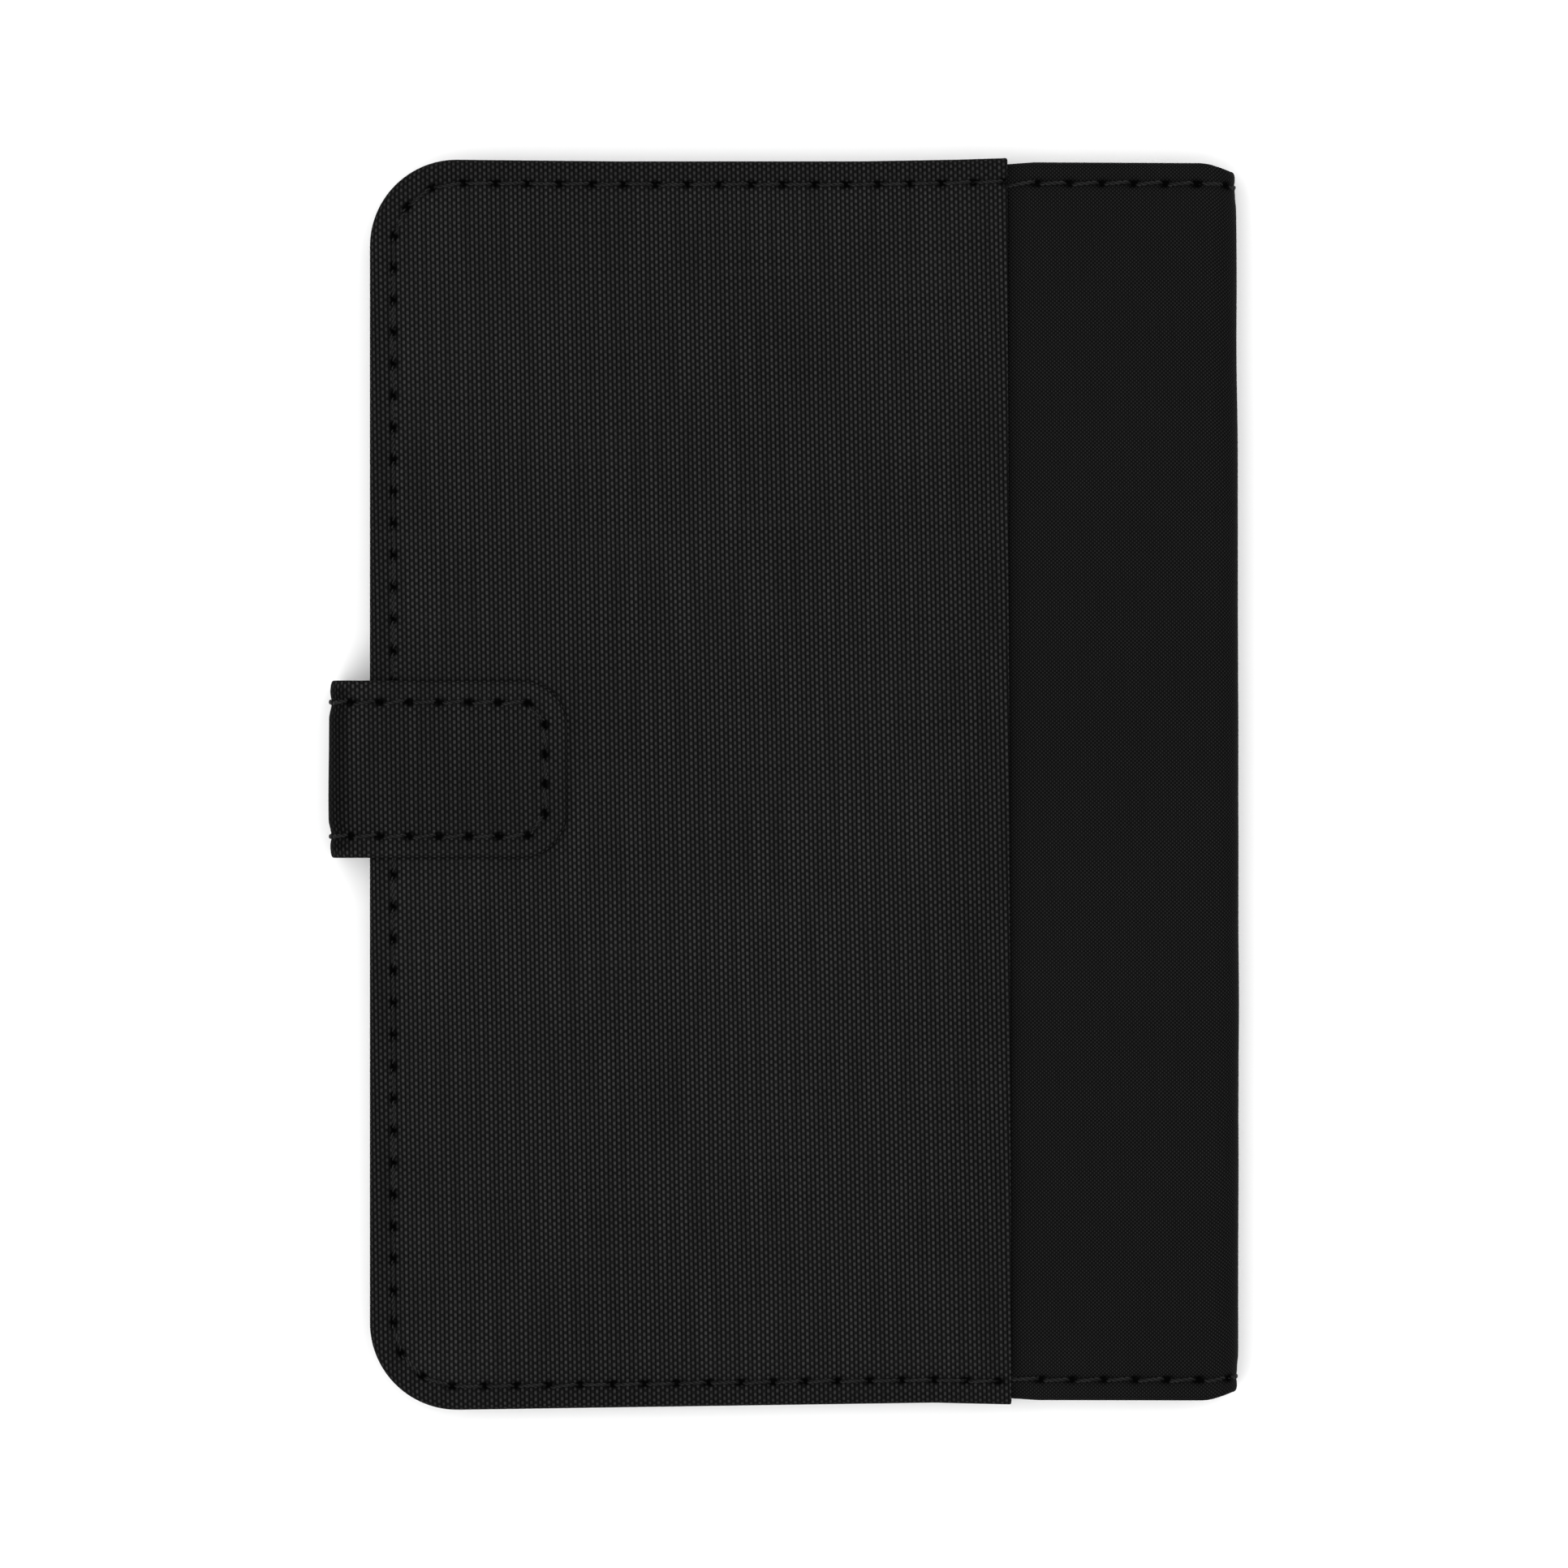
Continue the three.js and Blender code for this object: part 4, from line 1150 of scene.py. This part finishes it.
foam = foam_material()
board = board_material()
for side, (word, body) in COVERS.items():
    soft_pad(f"{word}_foam_pad", f"{word}_foam_sheet", body, foam)
    carried_over(f"{word}_board", board)
carried_over("tab_stiffener", board)
carried_over("closure_plate", metal_material("zinc_plate", 0.5, 6.0))
carried_over("tab_magnet", metal_material("nickel_plate", 0.56, 3.0))

# ---- Floor, light and camera ----
FLOOR_HALF = 3.0  # metres
FLOOR_DROP = 0.1  # the back cover's lowest yarns reach a little below the frame's z = 0
SKY = 0.40
VIEW_WIDTH = 0.1803  # metres that the picture spans at the front cover
DISTANCE = 2.0  # metres from the camera to the front cover


def studio():
    scene = bpy.context.scene
    scene.view_settings.view_transform = "Standard"
    scene.view_settings.look = "None"
    scene.world = bpy.data.worlds.new("studio")
    scene.world.use_nodes = True
    background = scene.world.node_tree.nodes["Background"]
    background.inputs["Color"].default_value = (1, 1, 1, 1)
    background.inputs["Strength"].default_value = SKY


def floor():
    mesh = bpy.data.meshes.new("floor")
    r = FLOOR_HALF
    mesh.from_pydata([(-r, -r, 0), (r, -r, 0), (r, r, 0), (-r, r, 0)], [], [(0, 1, 2, 3)])
    n = Nodes("pale_floor")
    tone = n.noise(n.add("ShaderNodeTexCoord", "Object"), 6.0, 3.0)
    mesh.materials.append(n.finish(n.grey(n.range(tone, 0.3, 0.7, 0.91, 0.95)), 0.8))
    piece = new_object("floor", mesh)
    piece.location.z = -FLOOR_DROP * MM


def area_light(name, place, size, power):
    lamp = bpy.data.lights.new(name, "AREA")
    lamp.size, lamp.energy = size, power
    piece = new_object(name, lamp)
    piece.location = place
    piece.rotation_euler = (-Vector(place)).to_track_quat("-Z", "Y").to_euler()


def overhead_camera():
    lens = bpy.data.cameras.new("camera")
    lens.sensor_width = 36
    lens.lens = lens.sensor_width * DISTANCE / VIEW_WIDTH
    lens.clip_end = 20
    camera = new_object("camera", lens)
    camera.location = (0, 0, TOP * MM + DISTANCE)
    bpy.context.scene.camera = camera


studio()
floor()
area_light("above", (0.0, 0.0, 3.0), 2.4, 64)
area_light("key", (-0.4, -0.2, 1.6), 0.9, 12)
area_light("fill", (0.42, 0.32, 1.6), 0.9, 7)
overhead_camera()
